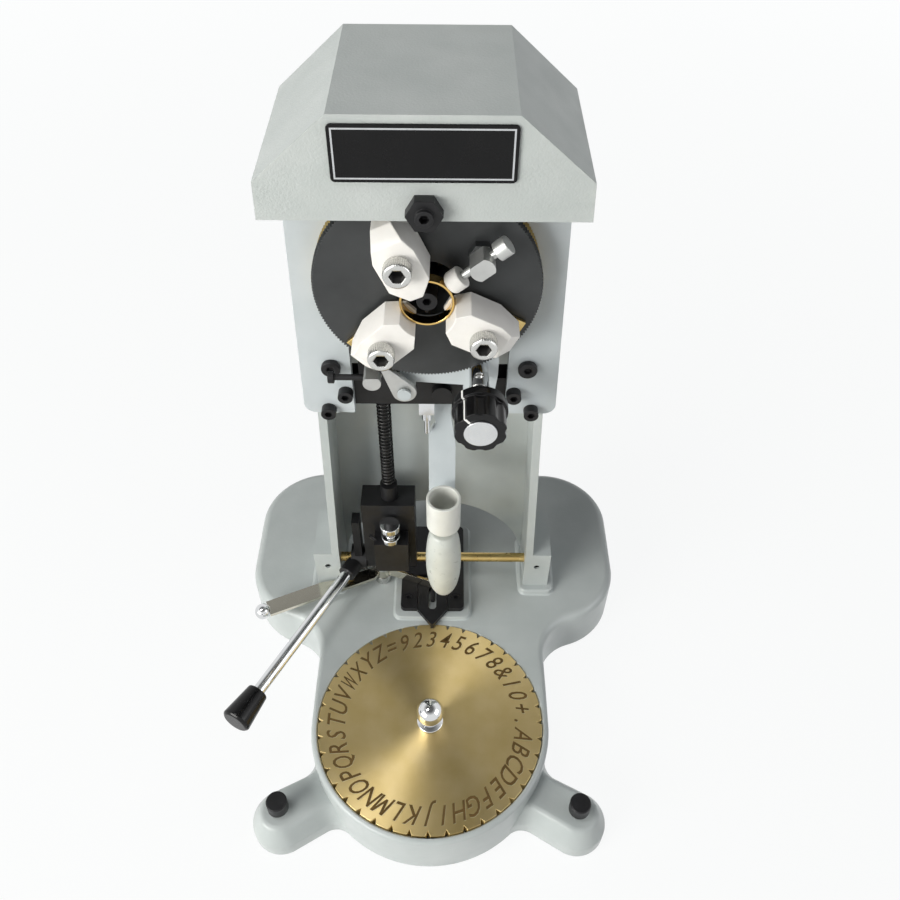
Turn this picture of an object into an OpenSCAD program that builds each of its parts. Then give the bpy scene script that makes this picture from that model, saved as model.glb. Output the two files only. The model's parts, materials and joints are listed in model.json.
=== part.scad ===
// Ring engraving machine: letters traced on a dial are cut, reduced, inside a finger ring.
// Millimetres. +Z is up and -Y faces the user. The origin lies on the table under the dial's axis.

/* [Base casting] */
// Height of the platform above the table
base_h = 29.5; // [26:0.5:34]
// Half the width of the rear platform
base_half_w = 101; // [96:1:112]
// Corner radius of the rear platform
base_corner_r = 36; // [28:1:37]
// Platform length behind the column
base_tail = 55; // [45:1:70]
// Radius of the hollow corners beside the neck
neck_fillet_r = 24; // [16:1:26]
// Width of the rim around the dial
rim_w = 3.1; // [2.5:0.1:6]
// Distance of a lobe's screw from the dial's rim
lobe_out = 22.3; // [19:0.1:28]
// Angle of the front lobes below the middle of the dial
lobe_angle = 29.3; // [24:0.1:36]
// Radius of a lobe at the table
lobe_r = 14; // [12:0.5:17]
// Height of a lobe
lobe_h = 19; // [14:0.5:22]
// Width of the bevel around a lobe
lobe_bevel = 4.5; // [2:0.5:6]
// Radius of the hold-down screw stems
hold_r = 2.4; // [2:0.1:3]
// Radius of the hold-down screw heads
hold_head_r = 4.9; // [4:0.1:6]

/* [Dial] */
// Diameter of the letter dial
dial_d = 110; // [104:1:116]
// Thickness of the dial
dial_t = 6; // [4:0.5:8]
// Notches around the dial
dial_notches = 40; // [36:4:48]
// Depth of a notch
notch_depth = 2.4; // [1.5:0.1:3]
// Width of a notch at the rim
notch_w = 2.4; // [1.6:0.1:3.2]
// Radius of the ball knob
dial_ball_r = 6.7; // [5:0.1:8]
// Radius of the dial's spindle
spindle_r = 5; // [4:0.5:7]

/* [Index detent] */
// Half the width of the index plate
index_half_w = 17; // [15:0.5:19]
// Half the width of the pointer
pointer_half_w = 7.9; // [6.5:0.1:9]
// Travel of the pointer when it is released
pointer_travel = 3; // [2.6:0.1:3.4]
// Height of the release lever's strip
strip_h = 6; // [4.5:0.5:6.5]
// Length of the release lever from pivot to ball
strip_len = 68; // [55:1:75]

/* [Column] */
// Half the width of the column at the platform
col_half_w = 54.2; // [52:0.2:57]
// Narrowing of each side per millimetre of height
col_taper = 0.033; // [0.02:0.001:0.036]
// Wall thickness of the column
col_wall = 3.8; // [3:0.2:5]
// Height of the column's top above the hood's lower edge
col_rise = 8.8; // [6:0.2:12]
// Radius of the arch in the back wall
arch_r = 50; // [40:1:50]
// Height of the foot blocks
foot_h = 27; // [24:1:34]
// Radius of the brass pivot rod
rod_r = 2.5; // [2:0.1:3.5]

/* [Handle] */
// Length of the chrome handle rod
handle_len = 92; // [80:1:105]
// Radius of the handle rod
handle_r = 3; // [2.5:0.1:4]
// Length of the handle grip
grip_len = 18; // [15:1:26]
// Radius of the handle grip at its end
grip_r = 7.2; // [5.6:0.1:9]
// Mean radius of the lift spring
spring_r = 2.85; // [2.7:0.05:3.2]
// Wire diameter of the lift spring
spring_wire = 0.9; // [0.7:0.05:1]
// Turns of the lift spring
spring_turns = 26; // [20:1:30]
// Radius of the lift rod
lift_r = 1.8; // [1.4:0.1:1.9]

/* [Head] */
// Height of the chuck axis above the platform
chuck_rise = 214.5; // [212:0.5:217]
// Thickness of the head plate
plate_t = 4; // [3:0.5:5]
// Half the width of the head plate at its lower edge
plate_half_w = 54.2; // [53:0.1:54.6]
// Half the width of the slot in the head plate
plate_slot_half = 32.5; // [31:0.5:33]
// Distance of the hood's front from the head plate
hood_reach = 28; // [26:0.5:34]
// Depth of the hood
hood_depth = 65; // [65:0.5:68]
// Half the width of the hood
hood_half_w = 54; // [54:0.2:57]
// Half the width of the hood's flat top
hood_top_half = 28.7; // [22:0.5:34]
// Height of the hood
hood_h = 35.5; // [34:0.5:42]
// Height of the hood's upright sides
hood_side_h = 13.6; // [10:0.2:18]
// Wall thickness of the hood
hood_wall = 2.5; // [2:0.1:2.6]

/* [Chuck] */
// Radius of the black face plate
face_r = 42.4; // [41:0.1:43]
// Teeth of the face plate
face_teeth = 200; // [160:4:220]
// Radius of the brass gear
gear_r = 42; // [40:0.1:42.6]
// Teeth of the brass gear
gear_teeth = 180; // [150:2:200]
// Outer radius of the finger ring held as work
ring_r = 10; // [8.6:0.1:11.5]
// Wall of the finger ring
ring_wall = 0.9; // [0.7:0.1:1.6]
// Width of the finger ring
ring_w = 4.5; // [3:0.1:5]
// Outer reach of a jaw from the chuck axis
jaw_reach = 36.5; // [34:0.5:37.5]
// Half the width of a jaw
jaw_half_w = 7.7; // [7:0.1:8.6]
// Radius of a jaw screw's head
jaw_head_r = 5; // [4.4:0.1:5.6]
// Radius of a jaw screw's shank
jaw_screw_r = 3; // [2.5:0.1:3.2]
// Radius of the stylus holder
stylus_r = 3.8; // [3:0.1:5]

/* [Size knob] */
// Radius of the knob's body
knob_r = 10.2; // [9:0.1:10.5]
// Radius of the knob's skirt
knob_skirt_r = 11; // [10.6:0.1:11.1]
// Length of the knob
knob_len = 14.5; // [12:0.5:16]
// Flutes around the knob
knob_flutes = 8; // [6:1:12]
// Radius of the knob's shaft
shaft_r = 2.5; // [2:0.1:2.8]

/* [Tracer] */
// Tilt of the tracer arm at rest
arm_tilt = 19; // [17:0.5:21]
// Height of the tracer's tip above the dial
tip_rise = 22.5; // [19:0.5:26]
// Half the width of the tracer arm
arm_half_w = 6.2; // [5:0.1:7]
// Outer radius of the finger cup
cup_r = 8; // [7:0.1:9]
// Wall of the finger cup
cup_wall = 1.4; // [1:0.1:2]
// Height of the finger cup
cup_h = 19; // [15:0.5:22]
// Largest radius of the tracer bulb
bulb_r = 8.75; // [7:0.05:9.4]
// Length of the tracer bulb
bulb_len = 51; // [46:1:52]

/* [Clearances] */
// Radial running clearance of a shaft or pin
run = 0.05; // [0.02:0.01:0.09]
// Gap between faces that move past each other
gap = 0.3; // [0.25:0.05:0.4]

/* [Hidden] */
$fn = 64;

// Colours as the photograph shows them
paint = "#8f979c";
plate_paint = "#c3cace";
black_steel = "#26272a";
bright_steel = "#c9ccd0";
brass = "#c9a24a";
white_plastic = "#f1f0ec";

// Dial and base
eps = 1;
dial_r = dial_d / 2;
dial_gap = 0.4;
dial_proud = 0.5;
dial_top = base_h + dial_proud;
dial_floor = dial_top - dial_t;
rim_r = dial_r + dial_gap + rim_w;
pad_h = 3.5;
pad_top = base_h + pad_h;
corner_r = 4;

// Places along Y, from the dial back to the hood
index_run = 24;
col_front = dial_r + index_run;
plate_front = col_front - plate_t;
hood_front = plate_front - hood_reach;
hood_back = hood_front + hood_depth;
col_back = hood_back - hood_wall;
corner_x = base_half_w - base_corner_r;
corner_front_y = col_front + 16;
base_rear = col_back + base_tail;
fillet_x = rim_r + neck_fillet_r;
fillet_span = base_corner_r + neck_fillet_r;
fillet_y = corner_front_y - sqrt(pow(fillet_span, 2) - pow(fillet_x - corner_x, 2));

// Lobes and hold-down screws
lobe_x = (rim_r + lobe_out) * cos(lobe_angle);
lobe_y = (rim_r + lobe_out) * sin(lobe_angle);
lobe_step = 9;
lobe_fillet_r = 9;
hold_head_h = 8;
hold_neck = 3;
hold_foot = 1;

// Index detent
index_pad_half = index_half_w + 3.5;
index_pad_h = 2;
index_floor = base_h + index_pad_h;
index_t = 3;
index_front = dial_r + 7.5;
index_rear = col_back + 8.5;
index_screw_x = 12.7;
index_screw_y = index_front + 7;
index_screw_r = 1.5;
index_head_r = 2.7;
index_head_h = 2;
pointer_z = index_floor + gap;
pointer_t = index_t - gap;
pointer_front = dial_r + 5;
pointer_rear = dial_r + 26;
tip_gap = 0.2;
tip_half = 0.7;
slot_half = 2.1;
slot_front = pointer_front + 2;
slot_rear = slot_front + 14;
plunger_r = 1.2;
lift_pin_r = 1.4;
lift_pin_y = slot_rear + 2.4;
lever_pivot = [-27.5, col_front + 6.4];
lever_ball_dir = 204;
lever_tip_reach = 28;
lever_tip_dir = -19.5;
lever_hub_r = 4;
lever_pin_r = 2.5;
lever_t = 1.2;
lever_ball_r = 4.2;
lever_wide_at = [26, 34];
lever_half_w = 4.4;
lever_neck_half = 2.6;
lever_flat_t = 2;
post_foot_r = 4.4;
post_foot_h = index_pad_h + index_t;
post_head_h = 2.2;
lever_z = base_h + post_foot_h + gap;

// Column
foot_out = 8.8;
foot_top = pad_top + foot_h;
rod_y = col_front + 6.5;
rod_z = foot_top - 10.5;
rod_bed = 10;
arch_z = pad_top - 10;
boss_depth = 13;
boss_half = 6.5;
boss_in = 3.4;
bolt_r = 3;
bolt_head_r = 5;
bolt_head_h = 6;
bolt_bite = 11;
set_screw_r = 1.6;
set_screw_z = rod_z;
function col_out(z) = col_half_w - col_taper * (z - base_h);
function col_in(z) = col_out(z) - col_wall;
foot_x = col_in(rod_z) + foot_out / 2 + col_wall / 2;
column_bolt_y = [rod_y + 8, col_back - 6];

// Guide block, lift rod and handle
block_x = [-35, -8.5];
block_front = col_front - 1.5;
block_rear = rod_y + 5.5;
block_z = [rod_z + 7.5, rod_z + 53];
ear_w = [9, 5];
ear_r = 5.6;
ledge_reach = 9;
ledge_x = [-29, -12];
ledge_z = [block_z[0] + 3, block_z[0] + 25.5];
depth_x = -20.6;
depth_stem_r = 2.2;
depth_collar_r = 4.6;
depth_head_r = 5;
depth_y = block_front - depth_head_r - 2 * gap;
lift_x = -21;
lift_y = col_front + 5;
collar_r = 4.2;
collar_h = 9.6;
lift_bottom = block_z[1] - 30;
handle_hub_x = [block_x[0] - 8.5, block_x[0] - gap];
handle_hub_r = 7;
handle_dir = [-0.465, -0.885, 0.022];
handle_start = 6;
handle_socket_r = 4.6;
handle_socket_len = 7.5;
arm_plate_t = 4;
lever_rise = 34;
grip_neck_r = 5.2;
grip_bed = 9;
grip_edge = 1.2;

// Head plate, cross bar and hood
chuck_z = base_h + chuck_rise;
plate_drop = 74.5;
plate_bottom = chuck_z - plate_drop;
plate_taper = 0.0284;
plate_corner_r = 5;
hood_lift = 39.2;
hood_bottom = chuck_z + hood_lift;
col_top = hood_bottom + col_rise;
hood_shoulder = hood_bottom + hood_side_h;
hood_top = hood_bottom + hood_h;
hood_shoulder_half = hood_half_w - 0.6;
plate_top = hood_bottom + 8;
plate_top_half = plate_half_w - plate_taper * (plate_top - plate_bottom);
bar_z = [plate_bottom + 1.5, plate_bottom + 17];
bar_back = col_front + 9;
bar_half = 39.5;
tab_x = [-30, -16];
tab_top = bar_z[1] + 13.5;
lug_x = [-5, 1.8];
lug_drop = 7;
lug_back = col_front + 5;
cap_r = 3.2;
cap_h = 4;
cap_shank_r = 2;
button_r = 4;
button_h = 2.6;
socket_r = 1.7;
socket_deep = 2;
corner_screw = [43.6, plate_bottom + 2.3];
bar_screw = [35.6, plate_bottom + 12.2];
button_screw = [40.6, plate_bottom + 26.6];
hood_screw_x = 25;
hood_screw_z = hood_bottom + 5;
name_half_w = 28.7;
name_low = 14;
name_high = 32.9;
name_z = [hood_bottom + name_low, hood_bottom + name_high];
name_t = 0.8;
name_corner = 1.5;
nut_z = hood_bottom + 4.1;
nut_r = 6.2;
nut_t = 4.3;
lock_r = 3;
lock_len = 9;

// Chuck stack along Y, from the head plate forward
gear_back = plate_front - gap;
gear_t = 6.4;
gear_front = gear_back - gear_t;
face_back = gear_front - gap;
face_t = 4;
face_front = face_back - face_t;
slide_back = face_front - gap;
slide_t = 1.7;
jaw_back = slide_back - slide_t;
jaw_t = 14;
jaw_chamfer = 5;
jaw_front = jaw_back - jaw_t;
ring_back = jaw_back - 2.3;
ring_front = ring_back - ring_w;
tooth_deep = 0.9;
gear_tooth_deep = 1.3;
hub_r = 18;
hub_bore_r = 15;
housing_r = 25;
housing_back = col_back - col_wall - 1.2;
collar_out_r = 22;
back_hole_r = 27;
face_bore_r = 12;
face_hub_len = 26;
jaw_angles = [114, 224, 333];
jaw_nose = 8;
jaw_screw_at = 23;
jaw_head_h = 6;
jaw_socket_r = 2.8;
jaw_socket_deep = 4.4;
jaw_slot_out = 7.5;
slide_half_w = 4.2;
slide_end = jaw_reach + 2.8;
slide_start = 13;
clamp_angle = 40;
clamp_y = (ring_front + ring_back) / 2;
clamp_at = 25.5;
clamp_x = clamp_at * cos(clamp_angle);
clamp_z = chuck_z + clamp_at * sin(clamp_angle);
clamp_post_r = 4.5;
clamp_flat = 3.4;
clamp_nut_r = 5;
clamp_nut_t = 3.4;
clamp_stem_r = 3;
clamp_screw_r = 1.6;
clamp_head_r = 3.6;
clamp_head_len = 5;
clamp_tip_r = 4.2;
clamp_tip_len = 6.2;
clamp_head_at = 32;
stylus_front = ring_front + 1;
stylus_tail = 5.5;
guide_t = 3;
guide_r = 30;
point_r = 0.8;
point_len = 3;

// Size knob and carrier plate
knob_x = 20.2;
knob_z = plate_bottom + 31;
sleeve_r = 4;
sleeve_len = 14.2;
carrier_t = 3.2;
carrier_front = gear_back - 4.5;
carrier_clear = 0.7;
sleeve_front = carrier_front - sleeve_len;
knob_back = sleeve_front - 8.5;
knob_front = knob_back - knob_len;
knob_skirt_len = 4;
flute_r = 4;
flute_out = 0.8;
shaft_collar_r = 3.2;
shaft_bed = 7;
cap_disc_r = 6.4;
cap_disc_t = 0.8;
window_r = 1.9;
leg_x = [14.2, 26.9];
leg_z = bar_z[1] - 9;
spacer_r = 3.2;
stud_at = [-10.1, bar_z[1] + 4.4];
stud_r = 2;
stud_head_r = 2.8;
pawl_t = 2.5;
pawl_wide_r = 5;
pawl_narrow_r = 1.8;
pawl_tip_dir = 247.5;
pawl_tip_gap = 0.8;
pawl_tip_at = face_r + pawl_tip_gap + pawl_narrow_r;
pawl_tip = [pawl_tip_at * cos(pawl_tip_dir), chuck_z + pawl_tip_at * sin(pawl_tip_dir)];
stop_at = [-23, bar_z[1] + 10.5];
stop_r = 3.7;
stop_front = face_front - 0.5;
stop_screw_y = stop_front + 4;
stop_screw_r = 1.3;
stop_screw_x = [-38.5, -24];
stop_head_r = 2.6;

// Tracer
swing_x = 5.2;
swing_z = bar_z[0] + 8;
journal_r = 3;
swing_nut_r = 4.2;
swing_nut_t = 2.6;
swing_hub_r = 6;
arm_eye_half = 3.6;
cheek_t = 3;
arm_pin_r = 2;
arm_y = bar_back + 8;
arm_t = 4;
arm_eye_r = 5;
arm_top_half = 3.8;
arm_notch_r = 3.2;
grip_x = 6;
neck_gap = 5.5;
bulb_bottom = dial_top + tip_rise;
bulb_top = bulb_bottom + bulb_len;
cup_bottom = bulb_top + neck_gap;
boss_z = cup_bottom + cup_h * 0.45;
boss_r = 4;
arm_len = (swing_z - boss_z + boss_r) / cos(arm_tilt);
arm_end_y = arm_y - arm_len * sin(arm_tilt);
grip_y = arm_end_y - arm_t - cup_r;
cup_floor = 2.5;
stud_rod_r = 1.5;
push = 7;
stud_bed = push + 7;
bulb_shape = [[0.5, 0], [0.76, 0.04], [0.88, 0.12], [0.96, 0.24], [1, 0.38], [1, 0.52], [0.96, 0.66],
  [0.86, 0.79], [0.7, 0.89], [0.48, 0.96], [0.26, 1]];

// Helpers
module along_y(r, y0, y1, x = 0, z = 0) {
  translate([x, y0, z]) rotate([-90, 0, 0]) cylinder(h = y1 - y0, r = r);
}

module along_x(r, x0, x1, y, z) {
  translate([x0, y, z]) rotate([0, 90, 0]) cylinder(h = x1 - x0, r = r);
}

module upright(r, z0, z1, x, y) {
  translate([x, y, z0]) cylinder(h = z1 - z0, r = r);
}

module block(x, y, z) {
  translate([x[0], y[0], z[0]]) cube([x[1] - x[0], y[1] - y[0], z[1] - z[0]]);
}

// A flat shape drawn in X and Z, from y0 back to y1
module facing(y0, y1) {
  translate([0, y1, 0]) rotate([90, 0, 0]) linear_extrude(height = y1 - y0) children();
}

module round_box(x, y, r) {
  translate([x[0] + r, y[0]]) square([x[1] - x[0] - 2 * r, y[1] - y[0]]);
  translate([x[0], y[0] + r]) square([x[1] - x[0], y[1] - y[0] - 2 * r]);
  for (cx = [x[0] + r, x[1] - r], cy = [y[0] + r, y[1] - r]) translate([cx, cy]) circle(r = r);
}

// A link of two round ends joined by their common tangents
module link(a, ra, b, rb) {
  d = norm(b - a);
  dir = atan2(b[1] - a[1], b[0] - a[0]);
  lean = acos((ra - rb) / d);
  translate(a) circle(r = ra);
  translate(b) circle(r = rb);
  polygon([for (s = [1, -1]) a + ra * [cos(dir + s * lean), sin(dir + s * lean)],
    for (s = [-1, 1]) b + rb * [cos(dir + s * lean), sin(dir + s * lean)]]);
}

// A gear outline with pointed teeth
module teeth(r, n, deep) {
  step = 360 / n;
  polygon([for (i = [0 : n - 1], k = [0, 1])
    let (a = (i + k / 2) * step, rr = r - k * deep) [rr * cos(a), rr * sin(a)]]);
}

// Socket cap screw with its face at y, pointing forward
module cap_screw(x, z, y, head_r, head_h, shank_r, shank_len) {
  difference() {
    union() {
      along_y(head_r, y - head_h, y, x, z);
      along_y(shank_r, y, y + shank_len, x, z);
    }
    along_y_hex(socket_r, y - head_h - eps, y - head_h + socket_deep, x, z);
  }
}

module along_y_hex(r, y0, y1, x, z) {
  translate([x, y0, z]) rotate([-90, 0, 0]) cylinder(h = y1 - y0, r = r, $fn = 6);
}

// Base casting
function arc(c, r, a0, a1, n) = [for (i = [0 : n]) let (a = a0 + (a1 - a0) * i / n) c + r * [cos(a), sin(a)]];

// Outline of the right half: dial rim, neck, hollow corner and the platform's two corners
hollow_end = atan2(corner_front_y - fillet_y, corner_x - fillet_x);
half_outline = concat(
  arc([0, 0], rim_r, -90, 0, 24),
  arc([fillet_x, fillet_y], neck_fillet_r, 180, hollow_end, 12),
  arc([corner_x, corner_front_y], base_corner_r, hollow_end - 180, 0, 12),
  arc([corner_x, base_rear - base_corner_r], base_corner_r, 0, 90, 14)
);

module base_outline() {
  n = len(half_outline);
  polygon(concat(half_outline, [for (i = [n - 1 : -1 : 1]) [-half_outline[i][0], half_outline[i][1]]]));
}

// Plan of an arm with its hollow corners at the rim, drawn in by inset; the arm runs along +X
module arm_plan(inset) {
  w = lobe_r - 1 - inset;
  f = lobe_fillet_r + inset;
  root = sqrt(pow(rim_r + f, 2) - pow(w + f, 2));
  turn = atan2(w + f, root);
  side = [for (i = [0 : 8]) let (a = 270 - i * (90 - turn) / 8) [root + f * cos(a), w + f + f * sin(a)]];
  polygon(concat([[rim_r + lobe_out, -w], [rim_r + lobe_out, w]], side,
    [[dial_r, side[8][1]], [dial_r, -side[8][1]]], [for (i = [8 : -1 : 0]) [side[i][0], -side[i][1]]]));
}

module lobe() {
  rotate([0, 0, -lobe_angle]) {
    for (k = [0 : 2]) let (top = lobe_step + k * (lobe_h - 0.5 - lobe_step) / 2)
      linear_extrude(height = top) arm_plan(k * lobe_bevel / 2);
    translate([rim_r + lobe_out, 0, 0]) {
      cylinder(h = lobe_step, r = lobe_r);
      translate([0, 0, lobe_step])
        cylinder(h = lobe_h - lobe_step, r1 = lobe_r, r2 = lobe_r - lobe_bevel);
    }
    translate([dial_r, 0, 0]) rotate([90, 0, 90]) linear_extrude(height = rim_r + lobe_out - dial_r)
      polygon([[1 - lobe_r, 0], [lobe_r - 1, 0], [lobe_r - 1, lobe_step - 0.5],
        [lobe_r - 1 - lobe_bevel, lobe_h - 0.7], [lobe_bevel + 1 - lobe_r, lobe_h - 0.7],
        [1 - lobe_r, lobe_step - 0.5]]);
  }
}

module base_casting() {
  color(paint) difference() {
    union() {
      linear_extrude(height = base_h) base_outline();
      for (s = [0, 1]) mirror([s, 0, 0]) {
        lobe();
        translate([0, 0, base_h - eps]) linear_extrude(height = pad_h + eps)
          round_box([col_in(pad_top) - 3, col_in(pad_top) + foot_out + col_wall + 3.5],
            [col_front - 4, col_back + 4], corner_r);
      }
      translate([0, 0, base_h - eps]) linear_extrude(height = index_pad_h + eps)
        round_box([-index_pad_half, index_pad_half], [dial_r + 3.6, index_rear + 3], corner_r);
    }
    upright(dial_r + dial_gap, dial_floor - gap, base_h + eps, 0, 0);
    upright(spindle_r, dial_floor - 14, base_h, 0, 0);
    block([-slot_half, slot_half], [dial_r - 2, dial_r + pointer_travel + 2.4],
      [dial_floor + 1, index_floor + eps]);
    for (s = [-1, 1]) {
      upright(hold_r + run, -eps, lobe_h + eps, s * lobe_x, -lobe_y);
      for (y = column_bolt_y) {
        upright(bolt_r + run, -eps, pad_top + eps, s * foot_x, y);
        upright(bolt_head_r + gap, -eps, bolt_head_h + 2, s * foot_x, y);
      }
    }
    upright(lever_pin_r + run, base_h - 8, base_h + eps, lever_pivot[0], lever_pivot[1]);
    for (s = [-1, 1])
      upright(index_screw_r, base_h - 6, index_floor + eps, s * index_screw_x, index_screw_y);
  }
}

module hold_down(x) {
  color(black_steel) {
    upright(hold_r, hold_foot, lobe_h + hold_neck, x, -lobe_y);
    upright(hold_head_r, lobe_h + hold_neck, lobe_h + hold_neck + hold_head_h, x, -lobe_y);
  }
}

// Dial
module dial() {
  color(brass) translate([0, 0, dial_floor]) difference() {
    linear_extrude(height = dial_t) difference() {
      circle(r = dial_r, $fn = 128);
      for (i = [0 : dial_notches - 1]) rotate(90 + i * 360 / dial_notches)
        polygon([[dial_r - notch_depth, 0], [dial_r + eps, notch_w * (notch_depth + eps) / notch_depth / 2],
          [dial_r + eps, -notch_w * (notch_depth + eps) / notch_depth / 2]]);
    }
    translate([0, 0, -eps]) cylinder(h = dial_t + 2 * eps, r = spindle_r + run);
  }
}

module dial_knob() {
  neck_r = dial_ball_r * 0.48;
  flange_h = 1.6;
  ball_z = dial_top + flange_h + dial_ball_r * 1.25;
  color(bright_steel) {
    upright(dial_ball_r * 0.98, dial_top, dial_top + flange_h, 0, 0);
    upright(neck_r, dial_top + flange_h, ball_z, 0, 0);
    translate([0, 0, ball_z]) sphere(r = dial_ball_r);
  }
}

module dial_spindle() {
  color(bright_steel) {
    upright(spindle_r, dial_floor - 14, dial_top - gap, 0, 0);
    upright(spindle_r + 4, dial_floor - gap, dial_floor - 0.02, 0, 0);
  }
}

// Index detent
module index_plate() {
  color(black_steel) difference() {
    translate([0, 0, index_floor]) linear_extrude(height = index_t) difference() {
      round_box([-index_half_w, index_half_w], [index_front, index_rear], 2.5);
      translate([-pointer_half_w - gap, index_front - eps])
        square([2 * (pointer_half_w + gap), pointer_rear + pointer_travel + gap - index_front + eps]);
    }
    for (s = [-1, 1]) translate([s * index_screw_x, index_screw_y, index_floor]) {
      translate([0, 0, -eps]) cylinder(h = index_t + 2 * eps, r = index_screw_r + run);
      translate([0, 0, index_t - index_head_h]) cylinder(h = index_head_h + eps, r = index_head_r + run);
    }
  }
}

module index_screws() {
  head_z = index_floor + index_t - index_head_h;
  color(black_steel) for (s = [-1, 1]) translate([s * index_screw_x, index_screw_y, 0]) difference() {
    union() {
      translate([0, 0, base_h - 6]) cylinder(h = head_z - base_h + 6, r = index_screw_r);
      translate([0, 0, head_z]) cylinder(h = index_head_h - 0.3, r = index_head_r);
    }
    translate([0, 0, head_z + 0.6]) cylinder(h = index_head_h, r = index_screw_r, $fn = 6);
  }
}

module index_pointer() {
  tip_y = dial_r - notch_depth + tip_gap;
  tip_root = dial_r + 1.5;
  color(black_steel) {
    translate([0, 0, pointer_z]) linear_extrude(height = pointer_t) difference() {
      polygon([[-pointer_half_w, pointer_rear], [-pointer_half_w, pointer_front + 2],
        [-tip_half, tip_y], [tip_half, tip_y], [pointer_half_w, pointer_front + 2],
        [pointer_half_w, pointer_rear]]);
      round_box([-slot_half, slot_half], [slot_front, slot_rear], slot_half * 0.9);
    }
    translate([0, 0, dial_top + gap]) linear_extrude(height = pointer_z - dial_top)
      polygon([[-tip_half, tip_y], [tip_half, tip_y], [tip_half * 2, tip_root], [-tip_half * 2, tip_root]]);
    upright(lift_pin_r, pointer_z + pointer_t - 0.5, pointer_z + pointer_t + 5, -1.5, lift_pin_y);
    along_y(plunger_r, slot_front + 6, slot_rear + 0.5, 0, pointer_z + pointer_t / 2);
  }
}

// Plan of the release lever's long arm: a flat strip, narrow where it passes the column's foot
module lever_plan() {
  root = lever_pin_r + (lever_hub_r - lever_pin_r) / 2;
  end = strip_len - lever_ball_r * 0.7;
  polygon([[root, -lever_neck_half], [lever_wide_at[0], -lever_neck_half], [lever_wide_at[1], -lever_half_w],
    [end, -lever_half_w], [end, lever_half_w], [root * 2, lever_half_w], [root, lever_neck_half]]);
}

module index_lever() {
  ball = lever_pivot + strip_len * [cos(lever_ball_dir), sin(lever_ball_dir)];
  tip = lever_pivot + lever_tip_reach * [cos(lever_tip_dir), sin(lever_tip_dir)];
  color(bright_steel) {
    translate([0, 0, lever_z]) linear_extrude(height = strip_h) difference() {
      union() {
        translate(lever_pivot) circle(r = lever_hub_r);
        link(lever_pivot, lever_t / 2, tip, lever_t / 2);
      }
      translate(lever_pivot) circle(r = lever_pin_r + run);
    }
    translate([lever_pivot[0], lever_pivot[1], lever_z + (strip_h - lever_flat_t) / 2 + 0.3])
      rotate([0, 0, lever_ball_dir]) linear_extrude(height = lever_flat_t) lever_plan();
    translate([ball[0], ball[1], lever_z + strip_h / 2]) rotate([0, 0, lever_ball_dir])
      sphere(r = lever_ball_r);
  }
}

module index_post() {
  head_z = lever_z + strip_h + gap;
  color(bright_steel) translate([lever_pivot[0], lever_pivot[1], 0]) difference() {
    union() {
      translate([0, 0, base_h - 8]) cylinder(h = head_z - base_h + 8, r = lever_pin_r);
      translate([0, 0, base_h]) cylinder(h = post_foot_h, r = post_foot_r);
      translate([0, 0, head_z]) cylinder(h = post_head_h, r = post_foot_r);
    }
    rotate(35) translate([-post_foot_r - eps, -0.5, head_z + post_head_h - 1.2])
      cube([2 * (post_foot_r + eps), 1, 2]);
  }
}

// Column
module column_side() {
  polygon([[col_in(pad_top), pad_top], [col_out(pad_top), pad_top], [col_out(col_top), col_top],
    [col_in(col_top), col_top]]);
}

module column_back() {
  difference() {
    polygon([[-col_in(pad_top) - eps, pad_top], [col_in(pad_top) + eps, pad_top],
      [col_in(col_top) + eps, col_top], [-col_in(col_top) - eps, col_top]]);
    translate([0, arch_z]) circle(r = arch_r, $fn = 128);
    translate([0, chuck_z]) circle(r = back_hole_r);
  }
}

module column_casting() {
  color(paint) difference() {
    union() {
      facing(col_back - col_wall, col_back) column_back();
      for (s = [0, 1]) mirror([s, 0, 0]) {
        facing(col_front, col_back) column_side();
        block([col_in(foot_top), col_in(pad_top) + foot_out + col_wall], [col_front, col_back],
          [pad_top, foot_top]);
        for (p = [corner_screw, button_screw])
          block([p[0] - boss_in, col_in(p[1]) + eps], [col_front, col_front + boss_depth],
            [p[1] - boss_half, p[1] + boss_half]);
      }
    }
    along_x(rod_r + run, -col_in(rod_z) - rod_bed - run, col_in(rod_z) + rod_bed + run, rod_y, rod_z);
    for (s = [-1, 1]) {
      along_y(set_screw_r, col_front - eps, rod_y, s * foot_x, set_screw_z);
      for (y = column_bolt_y) upright(bolt_r + run, pad_top - eps, pad_top + bolt_bite + gap, s * foot_x, y);
      for (p = [corner_screw, button_screw])
        along_y(cap_shank_r + run, col_front - eps, col_front + 10, s * p[0], p[1]);
      along_y(cap_shank_r + run, col_back - 10, col_back + eps, s * hood_screw_x, hood_screw_z);
    }
  }
}

module cap_screws() {
  column_bolts();
  plate_cap_screws();
  hood_screws();
}

module column_bolts() {
  color(black_steel) for (s = [-1, 1], y = column_bolt_y) difference() {
    union() {
      upright(bolt_head_r, 2, bolt_head_h + 2, s * foot_x, y);
      upright(bolt_r, bolt_head_h + 2, pad_top + bolt_bite, s * foot_x, y);
    }
    translate([s * foot_x, y, 0]) cylinder(h = 5, r = 2.4, $fn = 6);
  }
}

module foot_set_screws() {
  color(black_steel) for (s = [-1, 1]) difference() {
    along_y(set_screw_r, col_front + 1, rod_y - rod_r, s * foot_x, set_screw_z);
    along_y_hex(0.8, col_front, col_front + 3, s * foot_x, set_screw_z);
  }
}

module pivot_rod() {
  color(brass) along_x(rod_r, -col_in(rod_z) - rod_bed, col_in(rod_z) + rod_bed, rod_y, rod_z);
}

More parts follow.
